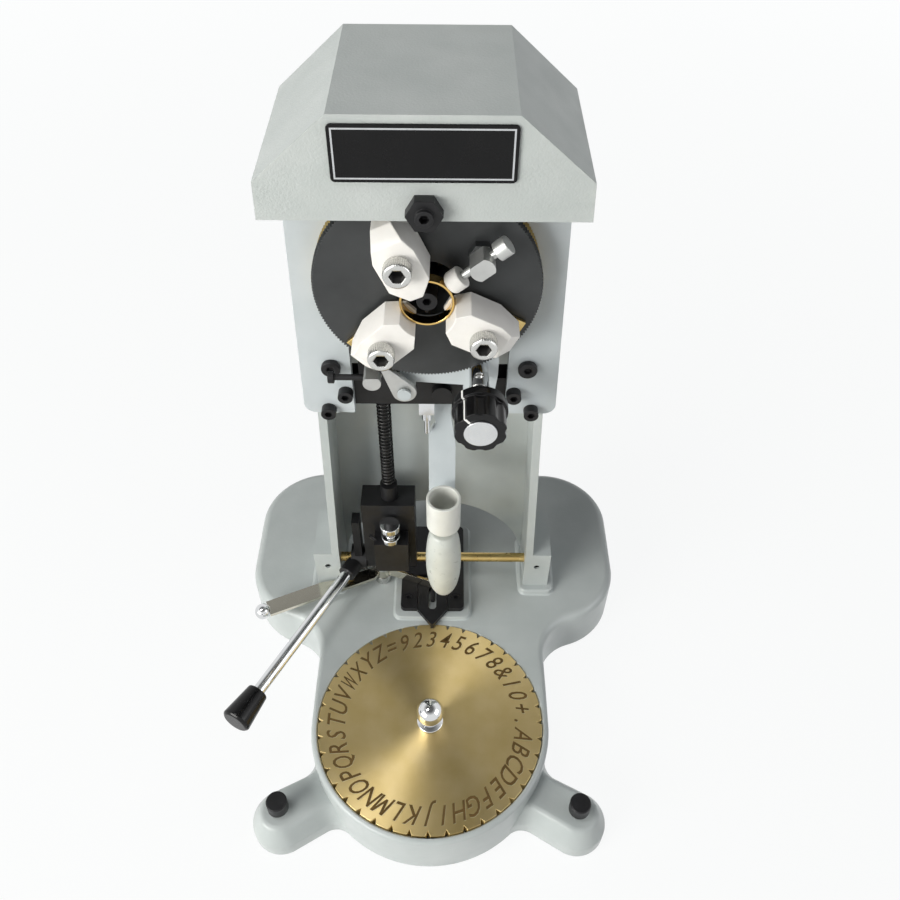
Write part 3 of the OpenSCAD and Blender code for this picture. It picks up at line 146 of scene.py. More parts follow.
looks = {
    # stoved enamel on a casting: even satin grey with a faint orange peel
    "base_enamel": surface("grey_enamel", "#b3bab9", "#bdc3c2", (0.34, 0.46), grainMm=1.6,
                           grainDepth=0.05, coat=0.15),
    # the same enamel sprayed thick: a fine pebbled skin
    "hood_enamel": surface("grey_textured_enamel", "#b6bcba", "#bfc4c2", (0.45, 0.58), grainMm=0.8,
                           grainDepth=0.13),
    # thin paler enamel on flat plate: smoother, a little matt
    "plate_enamel": surface("pale_grey_enamel", "#bcc4c7", "#c6cdd0", (0.4, 0.52), grainMm=1.2,
                            grainDepth=0.03),
    # blackened steel: near black with a soft oily sheen
    "black_metal": surface("black_oxide_steel", "#141415", "#1e1e20", (0.36, 0.5), metal=0.0,
                           mottleMm=8.0, grainMm=0.4, grainDepth=0.01, specular=0.3),
    # anodised aluminium: charcoal and matt
    "charcoal": surface("charcoal_anodised_disc", "#303233", "#3a3c3d", (0.45, 0.55), metal=0.2,
                        mottleMm=12.0, grainMm=0.3, grainDepth=0.006),
    # buffed chrome: clean, and shows the room
    "bright_steel": surface("polished_chrome", "#d4d5d6", "#dfe0e1", (0.05, 0.11), metal=1.0,
                            mottleMm=10.0, grainMm=1.2, grainDepth=0.0003),
    # lathe turned steel: bright but softly blurred
    "turned_steel": surface("turned_steel", "#c8c8c5", "#d1d1ce", (0.25, 0.29), metal=1.0, mottleMm=16.0,
                            grainMm=1.2, grainDepth=0.0002),
    # rolled sheet: pale and satin
    "satin_steel": surface("satin_steel_sheet", "#b7b8b6", "#c6c7c5", (0.35, 0.5), metal=0.8,
                           mottleMm=9.0, grainMm=0.3, grainDepth=0.004),
    # drawn strip: warm grey and smooth
    "drawn_strip": surface("drawn_steel_strip", "#cac6b8", "#d1cdbf", (0.13, 0.18), metal=1.0,
                           mottleMm=14.0, grainMm=1.2, grainDepth=0.0002),
    # oil hardened wire: dark with thin highlights
    "spring_steel": surface("dark_spring_steel", "#2a2a2a", "#3a3938", (0.22, 0.34), metal=0.8,
                            mottleMm=4.0, grainMm=0.3, grainDepth=0.004),
    # machined bar: warm and half polished
    "brass": surface("machined_brass", "#b99f63", "#ccb47a", (0.24, 0.36), metal=1.0, mottleMm=8.0,
                     grainMm=0.3, grainDepth=0.006),
    # polished gold alloy: warm and sharp
    "ring_gold": surface("polished_gold", "#d3b06a", "#e3c27e", (0.10, 0.18), metal=1.0, mottleMm=6.0,
                         grainMm=0.5, grainDepth=0.002),
    # cut nylon: opaque white, waxy
    "white_nylon": surface("white_nylon", "#ece9e4", "#f2f0ec", (0.45, 0.6), mottleMm=6.0, grainMm=0.4,
                           grainDepth=0.01),
    # moulded plastic: off white and smooth
    "grip_plastic": surface("off_white_plastic", "#d9dad4", "#e1e2dc", (0.28, 0.38), mottleMm=9.0,
                            grainDepth=0.008),
    # moulded plastic: pale grey with a soft highlight
    "bulb_plastic": surface("pale_grey_plastic", "#c4c8c2", "#ced2cc", (0.26, 0.36), mottleMm=9.0,
                            grainDepth=0.008),
    # moulded plastic: deep black gloss
    "black_plastic": surface("black_gloss_plastic", "#0f0f10", "#171718", (0.14, 0.24), mottleMm=7.0,
                             grainDepth=0.004, specular=0.25),
    # lacquered sheet: flat black, slightly glossy
    "name_black": surface("black_plate_lacquer", "#0c0c0d", "#121213", (0.22, 0.3), mottleMm=12.0,
                          grainDepth=0.003, specular=0.2),
    # brushed in rings, which pull the highlight into a wedge; rings drawn wider than real so that they show
    "dial_brass": turned("circular_brushed_brass", "#d3bb80", "#dfc994", (0.38, 0.48), (0, 0, 0), "z",
                         ringMm=0.3, depth=0.004, anisotropic=0.8),
    # spun aluminium: white with faint rings, drawn wider than real
    "cap_aluminium": turned("turned_aluminium", "#d3d5d6", "#e2e4e5", (0.25, 0.4), (20.2, 0, 200.5), "y",
                            ringMm=0.25, depth=0.003),
    # painted shade: the cut letter's groove, drawn flat, coloured dark warm brown where its shaded wall would
    # be
    "letter_painted_shade": surface("brass_groove_painted_shade", "#5b4520", "#6f562b", (0.5, 0.7), metal=0.5, mottleMm=5.0,
                          grainMm=0.2, grainDepth=0.004),
    # painted highlight: the lit wall of a cut letter, drawn flat as pale brass
    "letter_painted_highlight": surface("brass_edge_painted_highlight", "#e6d7a6", "#f1e4b9", (0.3, 0.4), metal=0.7, mottleMm=5.0,
                          grainMm=0.2, grainDepth=0.002),
    # painted shade: the inside of a socket coloured dark, for steel that lies in shade
    "socket_painted_shade": surface("painted_shade_socket", "#1a1918", "#262422", (0.5, 0.65), metal=0.4, mottleMm=3.0,
                           grainMm=0.3, grainDepth=0.004),
    # printed silver: thin and bright
    "silver_line": surface("silver_print", "#c4c6c8", "#d2d4d6", (0.25, 0.35), metal=0.9, mottleMm=5.0,
                           grainMm=0.3, grainDepth=0.002),
    # filled paint line: flat white
    "white_paint": surface("white_paint_line", "#e9e9e6", "#f2f2ef", (0.4, 0.5), mottleMm=3.0),
}
print("materials made", len(looks))


pieceLooks = {"dial": "dial_brass", "face_plate": "charcoal", "knob_sleeve": "bright_steel",
              "index_lever": "drawn_strip", "pawl_lever": "satin_steel", "clamp_post": "satin_steel",
              "clamp_screw": "satin_steel", "stop_post": "satin_steel", "tracer_bulb": "bulb_plastic"}


# a node's own finish where it has one, or else its slot's
def lookFor(node):
    return looks[pieceLooks.get(node, slotOf[node])]


for name, obj in nodes.items():
    obj.data.materials.clear()
    obj.data.materials.append(lookFor(name))


# a mesh from points in mm
def newPiece(name, verts, faces, mat, smooth=True):
    mesh = bpy.data.meshes.new(name)
    mesh.from_pydata((np.asarray(verts, float) * mm).tolist(), [], faces)
    mesh.materials.append(mat)
    mesh.polygons.foreach_set("use_smooth", [smooth] * len(mesh.polygons))
    mesh.update()
    obj = bpy.data.objects.new(name, mesh)
    bpy.context.scene.collection.objects.link(obj)
    return obj


# a piece takes the place of CAD nodes and moves with the first one's body
def standFor(obj, *names):
    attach(obj, bodyOf[names[0]])
    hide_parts(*names)


# large faces pull the shading of the edges beside them flat
def evenFaces(obj, weight):
    obj.modifiers.new("even_faces", "WEIGHTED_NORMAL").weight = weight


rounding = {"segments": 2, "sharpAngle": 28, "weldMm": 0.002, "flatAngle": 0.6, "evenWeight": 90}


# a copy of a CAD node with its sharp edges rounded to a width in mm
def softCopy(name, width):
    bm = bmesh.new()
    bm.from_mesh(nodes[name].data)
    bmesh.ops.remove_doubles(bm, verts=bm.verts, dist=rounding["weldMm"] * mm)
    bmesh.ops.dissolve_limit(bm, angle_limit=math.radians(rounding["flatAngle"]), verts=bm.verts,
                             edges=bm.edges)
    sharp = math.radians(rounding["sharpAngle"])
    edges = [e for e in bm.edges if e.is_manifold and e.calc_face_angle() > sharp]
    bmesh.ops.bevel(bm, geom=edges, offset=width * mm, offset_type="OFFSET", segments=rounding["segments"],
                    profile=0.5, affect="EDGES", clamp_overlap=True)
    mesh = bpy.data.meshes.new(name + "_soft")
    bm.to_mesh(mesh)
    bm.free()
    mesh.materials.append(lookFor(name))
    mesh.polygons.foreach_set("use_smooth", [True] * len(mesh.polygons))
    obj = bpy.data.objects.new(name + "_soft", mesh)
    bpy.context.scene.collection.objects.link(obj)
    evenFaces(obj, rounding["evenWeight"])
    standFor(obj, name)
    return mesh


edgeRounding = {
    "hood": 1.1, "column_casting": 0.9, "head_plate": 0.5, "carrier_plate": 0.4, "cross_bar": 0.4,
    "guide_block": 0.5, "dial": 0.18, "index_plate": 0.4, "index_pointer": 0.25, "index_post": 0.25,
    "index_lever": 0.2, "hold_down_left": 0.7, "hold_down_right": 0.7, "cap_screws": 0.35,
    "button_screws": 0.7, "index_screws": 0.2, "depth_screw": 0.4, "handle_lever": 0.5, "handle_grip": 0.5,
    "nameplate": 0.2, "lock_screw": 0.5, "spindle_housing": 0.5, "spindle_collar": 0.4, "face_plate": 0.15,
    "ring_gear": 0.15, "jaw_top": 0.7, "jaw_left": 0.7, "jaw_right": 0.7, "slide_top": 0.15,
    "slide_left": 0.15, "slide_right": 0.15, "clamp_post": 0.35, "clamp_screw": 0.3, "clamp_tip": 0.6,
    "sample_ring": 0.25, "stylus_holder": 0.4, "stylus_guide": 0.6, "knob_sleeve": 0.3, "size_knob": 0.55,
    "knob_shaft": 0.2, "knob_cap": 0.15, "pawl_lever": 0.3, "stop_post": 0.4, "stop_screw": 0.3,
    "swing_block": 0.4, "tracer_arm": 0.5, "tracer_cup": 0.45,
}
soft = {name: softCopy(name, width) for name, width in edgeRounding.items()}

barLow = 171.0  # lower edge of the cross bar, mm; the bright nut and pin hang below it
bm = bmesh.new()
bm.from_mesh(soft["cross_bar"])
bmesh.ops.bisect_plane(bm, geom=bm.verts[:] + bm.edges[:] + bm.faces[:], plane_co=(0, 0, barLow * mm),
                       plane_no=(0, 0, 1))
bm.to_mesh(soft["cross_bar"])
bm.free()
ballRight = -85.4  # right side of the bright ball at the release lever's end, mm
for name, axis, limit in (("cross_bar", 2, barLow), ("index_lever", 0, ballRight)):
    soft[name].materials.append(looks["bright_steel"])
    for face in soft[name].polygons:
        if face.center[axis] < limit * mm:
            face.material_index = 1
print("edges rounded", len(soft))


# rings of points as a grid, ring by place in the ring: each quad joins two neighbours on two rings
def loft(rings, closeLow=True, closeHigh=True):
    grid = np.stack([np.asarray(r, float) for r in rings])
    index = np.arange(grid.shape[0] * grid.shape[1]).reshape(grid.shape[:2])
    beside = np.roll(index, -1, axis=1)
    faces = np.stack([index[:-1], beside[:-1], beside[1:], index[1:]], -1).reshape(-1, 4).tolist()
    if closeLow:
        faces.append(index[0, ::-1].tolist())
    if closeHigh:
        faces.append(index[-1].tolist())
    return grid.reshape(-1, 3), faces


# points on a circle, from one angle to another
def arc(centre, radius, start, end, count):
    turn = np.radians(np.linspace(start, end, count))
    return np.stack([centre[0] + radius * np.cos(turn), centre[1] + radius * np.sin(turn)], 1)


# evenly spaced points along a closed outline
def resample(points, step):
    closed = np.vstack([points, points[:1]])
    run = np.concatenate([[0], np.cumsum(np.linalg.norm(np.diff(closed, axis=0), axis=1))])
    at = np.linspace(0, run[-1], int(run[-1] / step) + 1)[:-1]
    return np.stack([np.interp(at, run, closed[:, k]) for k in (0, 1)], 1)


# unit vectors square to a closed path, to its left
def inward(points):
    along = np.roll(points, -1, 0) - np.roll(points, 1, 0)
    along /= np.linalg.norm(along, axis=1)[:, None]
    return np.stack([-along[:, 1], along[:, 0]], 1)


# a flat outline lifted to a height
def ringAt(points, z):
    return np.column_stack([points, np.full(len(points), float(z))])


# several skins as one mesh, each one's faces counted on from the last
def joinMeshes(parts):
    verts, faces, offset = [], [], 0
    for v, f in parts:
        verts.append(v)
        faces += [tuple(i + offset for i in face) for face in f]
        offset += len(v)
    return np.vstack(verts), faces


# base casting: rounded platform, dial recess, lobes and pads
base = {"height": 29.5, "rim": 58.5, "neckFillet": 24.0, "corner": 36.0, "halfWidth": 101.0, "frontY": 95.0,
        "rearY": 164.5, "recess": 55.4, "recessFloor": 23.7, "recessEdge": 0.5, "footEdge": 0.8,
        "edgeFront": 2.3, "edgeRear": 4.6, "edgeFrom": 15.0, "edgeOver": 55.0, "step": 1.6, "evenWeight": 80}
lobe = {"reach": 80.8, "r": 14.0, "neck": 13.4, "sweep": 88, "angle": 29.3, "fillet": 9.0, "root": 48.0,
        "joinDepth": 6.0, "step": 0.9,
        "profile": [(0.7, 0), (0, 0.7), (0, 7.6), (0.12, 8.5), (0.55, 9.5), (1.2, 10.9), (3.6, 16.3),
                    (4.3, 17.7), (5.1, 18.5), (6.1, 18.9), (7.2, 19.0)]}  # how far in, and how high
pad = {"corner": 4.0, "step": 0.8, "slotEdge": 0.5,
       "foot": [(1.2, -0.3), (0.5, 0.12), (0.0, 0.8)]}  # how far out, and how high above the base
indexPad = {"x": (-20.5, 20.5), "y": (58.6, 121.0), "top": 31.5, "edge": 0.9}
footPad = {"x": (47.3, 66.2), "y": (75.0, 113.5), "top": 33.0, "edge": 1.4}
tipSlot = (3.2, 61.4)  # room for the pointer's tooth: half width and rear end, mm


# plan of the platform: round the dial, out through a fillet to the rear corners, and mirrored
def platformOutline():
    cx = base["halfWidth"] - base["corner"]
    fx = base["rim"] + base["neckFillet"]
    fy = base["frontY"] - math.sqrt((base["corner"] + base["neckFillet"]) ** 2 - (fx - cx) ** 2)
    end = math.degrees(math.atan2(base["frontY"] - fy, cx - fx))
    half = np.vstack([arc((0, 0), base["rim"], -90, 0, 80), arc((fx, fy), base["neckFillet"], 180, end, 40),
                      arc((cx, base["frontY"]), base["corner"], end - 180, 0, 60),
                      arc((cx, base["rearY"] - base["corner"]), base["corner"], 0, 90, 60)])
    return resample(np.vstack([half, half[::-1] * [-1, 1]]), base["step"])


# the outline carried up the wall and over a quarter round edge, then the top with the dial's well cut in
def platformMesh():
    outline = platformOutline()
    into = inward(outline)
    blendY = np.clip((outline[:, 1] - base["edgeFrom"]) / base["edgeOver"], 0, 1)
    edge = base["edgeFront"] + (base["edgeRear"] - base["edgeFront"]) * blendY * blendY * (3 - 2 * blendY)
    top, foot, lip = base["height"], base["footEdge"], base["recessEdge"]
    rings = [ringAt(outline + into * foot, 0), ringAt(outline, foot)]
    for turn in np.radians(np.linspace(0, 90, 9)):
        ring = ringAt(outline + into * (edge * (1 - math.cos(turn)))[:, None], top)
        ring[:, 2] = top - edge * (1 - math.sin(turn))
        rings.append(ring)
    verts, faces = loft(rings, closeHigh=False)
    start = len(verts) - len(outline)
    rim = arc((0, 0), base["recess"], 0, 360, 181)[:-1]
    loops = [[Vector((x, y, 0)) for x, y in rings[-1][:, :2]], [Vector((x, y, 0)) for x, y in rim]]
    well = [ringAt(rim * (1 + lip / base["recess"]), top), ringAt(rim, top - lip),
            ringAt(rim, base["recessFloor"])]
    wellVerts, wellFaces = loft(well, closeLow=False)
    offset = len(verts)
    for tri in tessellate_polygon(loops):
        faces.append(tuple(start + i if i < len(outline) else offset + i - len(outline) for i in tri))
    faces += [tuple(offset + i for i in f) for f in wellFaces]
    return np.vstack([verts, wellVerts]), faces


# a lobe's outline drawn in by a stepped profile as it rises, turned to its place, and mirrored for the left
def lobeMesh(side):
    wide, fillet, sweep = lobe["neck"], lobe["fillet"], lobe["sweep"]
    root = math.sqrt((base["rim"] + fillet) ** 2 - (wide + fillet) ** 2)
    turn = math.degrees(math.atan2(wide + fillet, root))
    upper = arc((root, wide + fillet), fillet, 180 + turn, 270, 24)
    lower = (upper * [1, -1])[::-1]
    tip = arc((lobe["reach"], 0), lobe["r"], sweep, -sweep, 60)
    back = [(lobe["root"], lower[-1][1]), (lobe["root"], -lower[-1][1])]
    outline = resample(np.vstack([upper, tip, lower, back])[::-1], lobe["step"])
    into = inward(outline)
    inside = outline[:, 0] < base["rim"] - lobe["joinDepth"]
    verts, faces = loft([ringAt(outline + into * np.where(inside, 0, inset)[:, None], z)
                         for inset, z in lobe["profile"]])
    a = math.radians(-lobe["angle"])
    verts[:, :2] = verts[:, :2] @ np.array([[math.cos(a), math.sin(a)], [-math.sin(a), math.cos(a)]])
    if side < 0:
        verts[:, 0] *= -1
        faces = [tuple(reversed(f)) for f in faces]
    return verts, faces


# a rounded rectangle that flares at its foot and rounds over at its top; a slot may open its front
def padMesh(x, y, top, edge, slot=None):
    (x0, x1), (y0, y1), c = x, y, pad["corner"]
    front = np.empty((0, 2))
    if slot:
        (half, rear), bevel = slot, pad["slotEdge"]
        front = [(-half - bevel, y0), (-half, y0 + bevel), (-half, rear), (half, rear), (half, y0 + bevel),
                 (half + bevel, y0)]
    outline = np.vstack([front, arc((x1 - c, y0 + c), c, -90, 0, 12), arc((x1 - c, y1 - c), c, 0, 90, 12),
                         arc((x0 + c, y1 - c), c, 90, 180, 12), arc((x0 + c, y0 + c), c, 180, 270, 12)])
    outline = resample(outline, pad["step"])
    into = inward(outline)
    rings = [ringAt(outline - into * out, base["height"] + up) for out, up in pad["foot"]]
    for turn in np.radians(np.linspace(0, 90, 6)):
        rings.append(ringAt(outline + into * edge * (1 - math.cos(turn)), top - edge * (1 - math.sin(turn))))
    return loft(rings, closeLow=False)


leftPad = {**footPad, "x": (-footPad["x"][1], -footPad["x"][0])}
baseParts = [platformMesh(), lobeMesh(1), lobeMesh(-1), padMesh(**indexPad, slot=tipSlot), padMesh(**footPad),
             padMesh(**leftPad)]
basePiece = newPiece("base_rounded", *joinMeshes(baseParts), looks["base_enamel"])
for face in basePiece.data.polygons:
    face.use_smooth = face.normal.z < 0.9999  # the level tops stay flat
evenFaces(basePiece, base["evenWeight"])
standFor(basePiece, "base_casting")
print("base made")


# points moved by a matrix
def placed(points, matrix):
    m = np.array(matrix)
    return points @ m[:3, :3].T + m[:3, 3]


# a turned piece: each (radius, height) of the profile swept round the axis
def revolve(profile, count, place):
    radius, height = np.asarray(profile, float).T[:, :, None]
    turn = np.linspace(0, 2 * math.pi, count, endpoint=False)
    grid = np.stack([radius * np.cos(turn), radius * np.sin(turn), height + 0 * turn], -1)
    return loft(placed(grid, place))


def alongZ(x, y, z=0.0):
    return Matrix.Translation((x, y, z))


def alongY(x, y, z):
    return Matrix.Translation((x, y, z)) @ Matrix.Rotation(math.radians(-90), 4, "X")


# a cubic through the points, with slopes taken from their neighbours, at even steps along its length
def smoothCurve(points, count):
    pts = np.asarray(points, float)
    run = np.concatenate([[0], np.cumsum(np.linalg.norm(np.diff(pts, axis=0), axis=1))])
    slope = np.gradient(pts, run, axis=0)
    at = np.linspace(0, run[-1], count)
    k = np.clip(np.searchsorted(run, at, side="right") - 1, 0, len(run) - 2)
    h = run[k + 1] - run[k]
    t = ((at - run[k]) / h)[:, None]
    h = h[:, None]
    return ((2 * t ** 3 - 3 * t ** 2 + 1) * pts[k] + (t ** 3 - 2 * t ** 2 + t) * h * slope[k]
            + (3 * t ** 2 - 2 * t ** 3) * pts[k + 1] + (t ** 3 - t ** 2) * h * slope[k + 1])


# dial knob: flange and waist as (radius, height), then the ball
dialKnob = {"foot": [(0.5, 30.0), (6.2, 30.0), (6.5, 30.25), (6.5, 31.3), (6.2, 31.6), (4.2, 31.9),
                     (3.4, 32.6), (3.15, 33.3)], "ballR": 6.7, "ballZ": 39.975, "ballAngles": (-61, 89.5)}
ballTurn = np.radians(np.linspace(*dialKnob["ballAngles"], 34))
knobBall = np.column_stack([np.cos(ballTurn), np.sin(ballTurn)]) * dialKnob["ballR"] + [0, dialKnob["ballZ"]]
knobMesh = revolve(np.vstack([dialKnob["foot"], knobBall]), 72, alongZ(0, 0))
standFor(newPiece("dial_knob_turned", *knobMesh, looks["bright_steel"]), "dial_knob")

# tracer bulb: a smooth egg, as shares of its radius and of its length from the top
bulb = {"r": 8.75, "len": 51.0, "top": 103.5, "x": 6.0, "y": 61.47}
bulbShape = [(0.15, 0), (0.5, 0.0), (0.73, 0.025), (0.85, 0.09), (0.945, 0.22), (0.995, 0.38), (0.993, 0.52),
             (0.945, 0.66), (0.84, 0.79), (0.68, 0.89), (0.47, 0.96), (0.24, 0.995), (0.02, 1.0)]
bulbCurve = smoothCurve(bulbShape, 60).clip(min=[0.01, -1]) * [bulb["r"], -bulb["len"]] + [0, bulb["top"]]
bulbMesh = revolve(bulbCurve[::-1], 64, alongZ(bulb["x"], bulb["y"]))
standFor(newPiece("tracer_bulb_smooth", *bulbMesh, looks["bulb_plastic"]), "tracer_bulb")


# lift spring: a round wire wound on a helix
spring = {"x": -21.0, "y": 84.0, "r": 2.85, "wire": 0.9, "turns": 26, "low": 113.15, "high": 170.25}


# a circle of the wire's size carried along the helix, square to it
def springMesh():
    count = spring["turns"] * 24
    turn = np.linspace(0, 2 * math.pi * spring["turns"], count + 1)
    pitch = (spring["high"] - spring["low"]) / (2 * math.pi * spring["turns"])
    path = np.column_stack([spring["x"] + spring["r"] * np.cos(turn),
                            spring["y"] + spring["r"] * np.sin(turn), spring["low"] + pitch * turn])
    along = np.column_stack([-spring["r"] * np.sin(turn), spring["r"] * np.cos(turn),
                             np.full(len(turn), pitch)])
    along /= np.linalg.norm(along, axis=1)[:, None]
    side = np.column_stack([np.cos(turn), np.sin(turn), np.zeros(len(turn))])
    up = np.cross(side, along)
    a = np.linspace(0, 2 * math.pi, 10, endpoint=False)[None, :, None]
    return loft(path[:, None] + spring["wire"] / 2 * (np.cos(a) * side[:, None] + np.sin(a) * up[:, None]))


springPiece = newPiece("lift_spring_wire", *springMesh(), looks["spring_steel"])
standFor(springPiece, "lift_spring")
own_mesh(springPiece)
print("turned pieces made")


# jaw screws: knurled socket heads
screw = {"at": 23.0, "headR": 5.0, "front": 41.7, "back": 47.7, "shankR": 3.0, "end": 67.0, "socket": 2.8,
         "deep": 4.3, "ribs": 36, "knurl": 0.38, "evenWeight": 50,
         "angles": {"top": 114, "left": 224, "right": 333}}
screwSides = screw["ribs"] * 6


# hexagon socket, rim and knurled wall as one profile; the knurl is a cosine round the head
def screwMesh(angle):
    x, z = screw["at"] * math.cos(math.radians(angle)), chuckZ + screw["at"] * math.sin(math.radians(angle))
    turn = np.linspace(0, 2 * math.pi, screwSides, endpoint=False)
    rib = screw["knurl"] * (0.5 - 0.5 * np.cos(turn * screw["ribs"]))
    hexR = screw["socket"] * math.cos(math.pi / 6) / np.cos((turn % (math.pi / 3)) - math.pi / 6)
    r, shank, head = screw["headR"], screw["shankR"], screw["back"] - screw["front"]
    socket = [(hexR * 0.96, screw["deep"]), (hexR, 0.25), (hexR + 0.3, 0.0)]  # radius and depth
    wall = [(r - 0.9, 0.0, 0), (r - 0.35, 0.2, 0), (r - 0.05, 0.9, 0.2), (r, 1.3, 1), (r, head - 0.8, 1),
            (r - 0.4, head - 0.2, 0.2), (shank + 0.1, head, 0), (shank, head + 0.3, 0),
            (shank, screw["end"] - screw["front"], 0)]  # radius, depth and share of the knurl
    profile = socket + [(radius - share * rib, depth) for radius, depth, share in wall]
    verts, faces = loft([np.column_stack([radius * np.cos(turn), radius * np.sin(turn), 0 * turn + depth])
                         for radius, depth in profile])
    return placed(verts, alongY(x, screw["front"], z)), faces


for name, angle in screw["angles"].items():
    piece = newPiece("jaw_screw_%s_knurled" % name, *screwMesh(angle), looks["turned_steel"])
    evenFaces(piece, screw["evenWeight"])
    # the socket's floor and walls take the dark colour: painted shade
    piece.data.materials.append(looks["socket_painted_shade"])
    for face in piece.data.polygons:
        if max(face.vertices) < 2 * screwSides:  # the socket's floor and walls are the first two rings
            face.material_index = 1
    standFor(piece, "jaw_screw_" + name)
print("screws made")


# dial lettering: one generic character at each notch, tops outward, reading clockwise
lettering = {"chars": "345678&10+.ABCDEFGHIJKLMNOPQRSTUVWXYZ=92", "ring": 45.6, "size": 12.9,
             "narrow": 0.79, "widest": 6.4, "lean": 0.26, "bold": 0.1, "z": 30.0}
letterM = np.array([(0.17, 0), (0.17, 0.72), (0.42, 0.16), (0.58, 0.16), (0.83, 0.72), (0.83, 0), (1, 0),
                    (1, 1), (0.76, 1), (0.5, 0.42), (0.24, 1), (0, 1), (0, 0)])  # the font's own M closes up


# one character made a mesh, slanted, and turned about the dial to its notch
def letterMesh(char, index, lift, shift):
    curve = bpy.data.curves.new("letter", "FONT")
    curve.body = char
    curve.size = lettering["size"]
    curve.align_x = "CENTER"
    curve.align_y = "CENTER"
    curve.offset = lettering["bold"]
    curve.resolution_u = 3
    holder = bpy.data.objects.new("letter", curve)
    bpy.context.scene.collection.objects.link(holder)
    mesh = bpy.data.meshes.new_from_object(holder.evaluated_get(bpy.context.evaluated_depsgraph_get()))
    verts = np.empty(len(mesh.vertices) * 3)
    mesh.vertices.foreach_get("co", verts)
    verts = verts.reshape(-1, 3)
    faces = [tuple(p.vertices) for p in mesh.polygons]
    bpy.data.objects.remove(holder)
    bpy.data.curves.remove(curve)
    bpy.data.meshes.remove(mesh)
    low, box = verts.min(0), np.ptp(verts, axis=0)
    if char == "M":
        verts = low + np.column_stack([letterM, np.zeros(len(letterM))]) * box
        faces = [tuple(range(len(letterM)))]
    turn = -math.radians(360 / len(lettering["chars"]) * index)
    x = verts[:, 0] * min(lettering["narrow"], lettering["widest"] / box[0]) + verts[:, 1] * lettering["lean"]
    y = verts[:, 1] + lettering["ring"]
    around = np.column_stack([x * math.cos(turn) - y * math.sin(turn) + shift[0],
                              x * math.sin(turn) + y * math.cos(turn) + shift[1],
                              np.full(len(verts), lettering["z"] + lift)])
    return around, faces


# each cut letter drawn flat in dark brown as painted shade, with a pale copy just below it and to its right
# as the painted highlight of its lit edge; lift and shift in mm
for name, look, lift, shift in (("dial_lettering", "letter_painted_shade", 0.06, (0, 0)),
                                ("dial_lettering_edge", "letter_painted_highlight", 0.03, (0.16, -0.2))):
    parts = [letterMesh(c, i, lift, shift) for i, c in enumerate(lettering["chars"])]
    letters = newPiece(name, *joinMeshes(parts), looks[look], smooth=False)
    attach(letters, "dial")
print("lettering made")


# nameplate border: a thin printed frame on the bare plate
namePlate = {"half": 28.7, "low": 297.2, "high": 316.1, "y": 46.2, "inset": 1.1, "line": 0.55, "lift": 0.04}


# two rectangles just off the plate's face, one a line's width inside the other, joined side by side
def borderMesh():
    verts = []
    for inset in (namePlate["inset"], namePlate["inset"] + namePlate["line"]):
        half, low, high = namePlate["half"] - inset, namePlate["low"] + inset, namePlate["high"] - inset
        corners = [(-half, low), (half, low), (half, high), (-half, high)]
        verts += [(x, namePlate["y"] - namePlate["lift"], z) for x, z in corners]
    return verts, [(i, (i + 1) % 4, 4 + (i + 1) % 4, 4 + i) for i in range(4)]


border = newPiece("nameplate_border", *borderMesh(), looks["silver_line"], False)
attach(border, "base")

# white pointer line along the size knob and over its front face
knobLine = {"x": 20.2, "z": 200.5, "angle": 130.0, "half": 0.45, "body": 9.58, "skirt": 11.04, "face": 32.96,
            "skirtFront": 43.46, "back": 47.4, "capR": 6.5, "bend": 0.4}


# a narrow strip at one angle about the knob: each (radius, y) of the path moved half a line's width each way
def lineMesh(path):
    a = math.radians(knobLine["angle"])
    radius, y = np.asarray(path, float).T[:, :, None]
    side = np.array([-1, 1]) * knobLine["half"]
    verts = np.stack([knobLine["x"] + radius * math.cos(a) - side * math.sin(a), y + 0 * side,
                      knobLine["z"] + radius * math.sin(a) + side * math.cos(a)], -1).reshape(-1, 3)
    k = 2 * np.arange(len(path) - 1)
    return verts, np.stack([k, k + 1, k + 3, k + 2], 1).tolist()


linePath = [(knobLine["skirt"], knobLine["back"]), (knobLine["skirt"], knobLine["skirtFront"]),
            (knobLine["body"], knobLine["skirtFront"]),
            (knobLine["body"], knobLine["face"] + knobLine["bend"]),
            (knobLine["body"] - knobLine["bend"], knobLine["face"]), (knobLine["capR"], knobLine["face"])]
line = newPiece("knob_pointer_line", *lineMesh(linePath), looks["white_paint"], False)
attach(line, "knob")
print("markings made")


# camera as solved from the photograph, in mm and degrees; the image is square
camera = {"focalPx": 886.22, "imagePx": 900, "pitch": 47.06, "roll": -0.5, "yaw": 0.16,
          "at": (8.07, -199.51, 440.86), "sensor": 36.0, "clipStart": 10.0}


def makeCamera():
    p, r, w = (math.radians(camera[k]) for k in ("pitch", "roll", "yaw"))
    forward = Vector((math.sin(w) * math.cos(p), math.cos(w) * math.cos(p), -math.sin(p)))
    right = Vector((math.cos(w), -math.sin(w), 0))
    up = right.cross(forward)
    turnedRight = right * math.cos(r) - up * math.sin(r)
    turnedUp = right * math.sin(r) + up * math.cos(r)
    data = bpy.data.cameras.new("camera")
    data.sensor_width = camera["sensor"]
    data.lens = camera["focalPx"] / camera["imagePx"] * data.sensor_width
    data.clip_start = camera["clipStart"] * mm
    obj = bpy.data.objects.new("camera", data)
    matrix = Matrix((turnedRight, turnedUp, -forward)).transposed().to_4x4()
    matrix.translation = Vector(camera["at"]) * mm
    obj.matrix_world = matrix
    bpy.context.scene.collection.objects.link(obj)
    bpy.context.scene.camera = obj


makeCamera()


# 1 for what the camera sees, straight, mirrored or through glass, and 0 for light that only fills the room
def seenByCamera(tree):
    path = put(tree, "ShaderNodeLightPath").outputs
    first = put(tree, "ShaderNodeMath", {0: path["Is Camera Ray"], 1: path["Is Glossy Ray"]},
                operation="MAXIMUM").outputs[0]
    return put(tree, "ShaderNodeMath", {0: first, 1: path["Is Transmission Ray"]},
               operation="MAXIMUM").outputs[0]


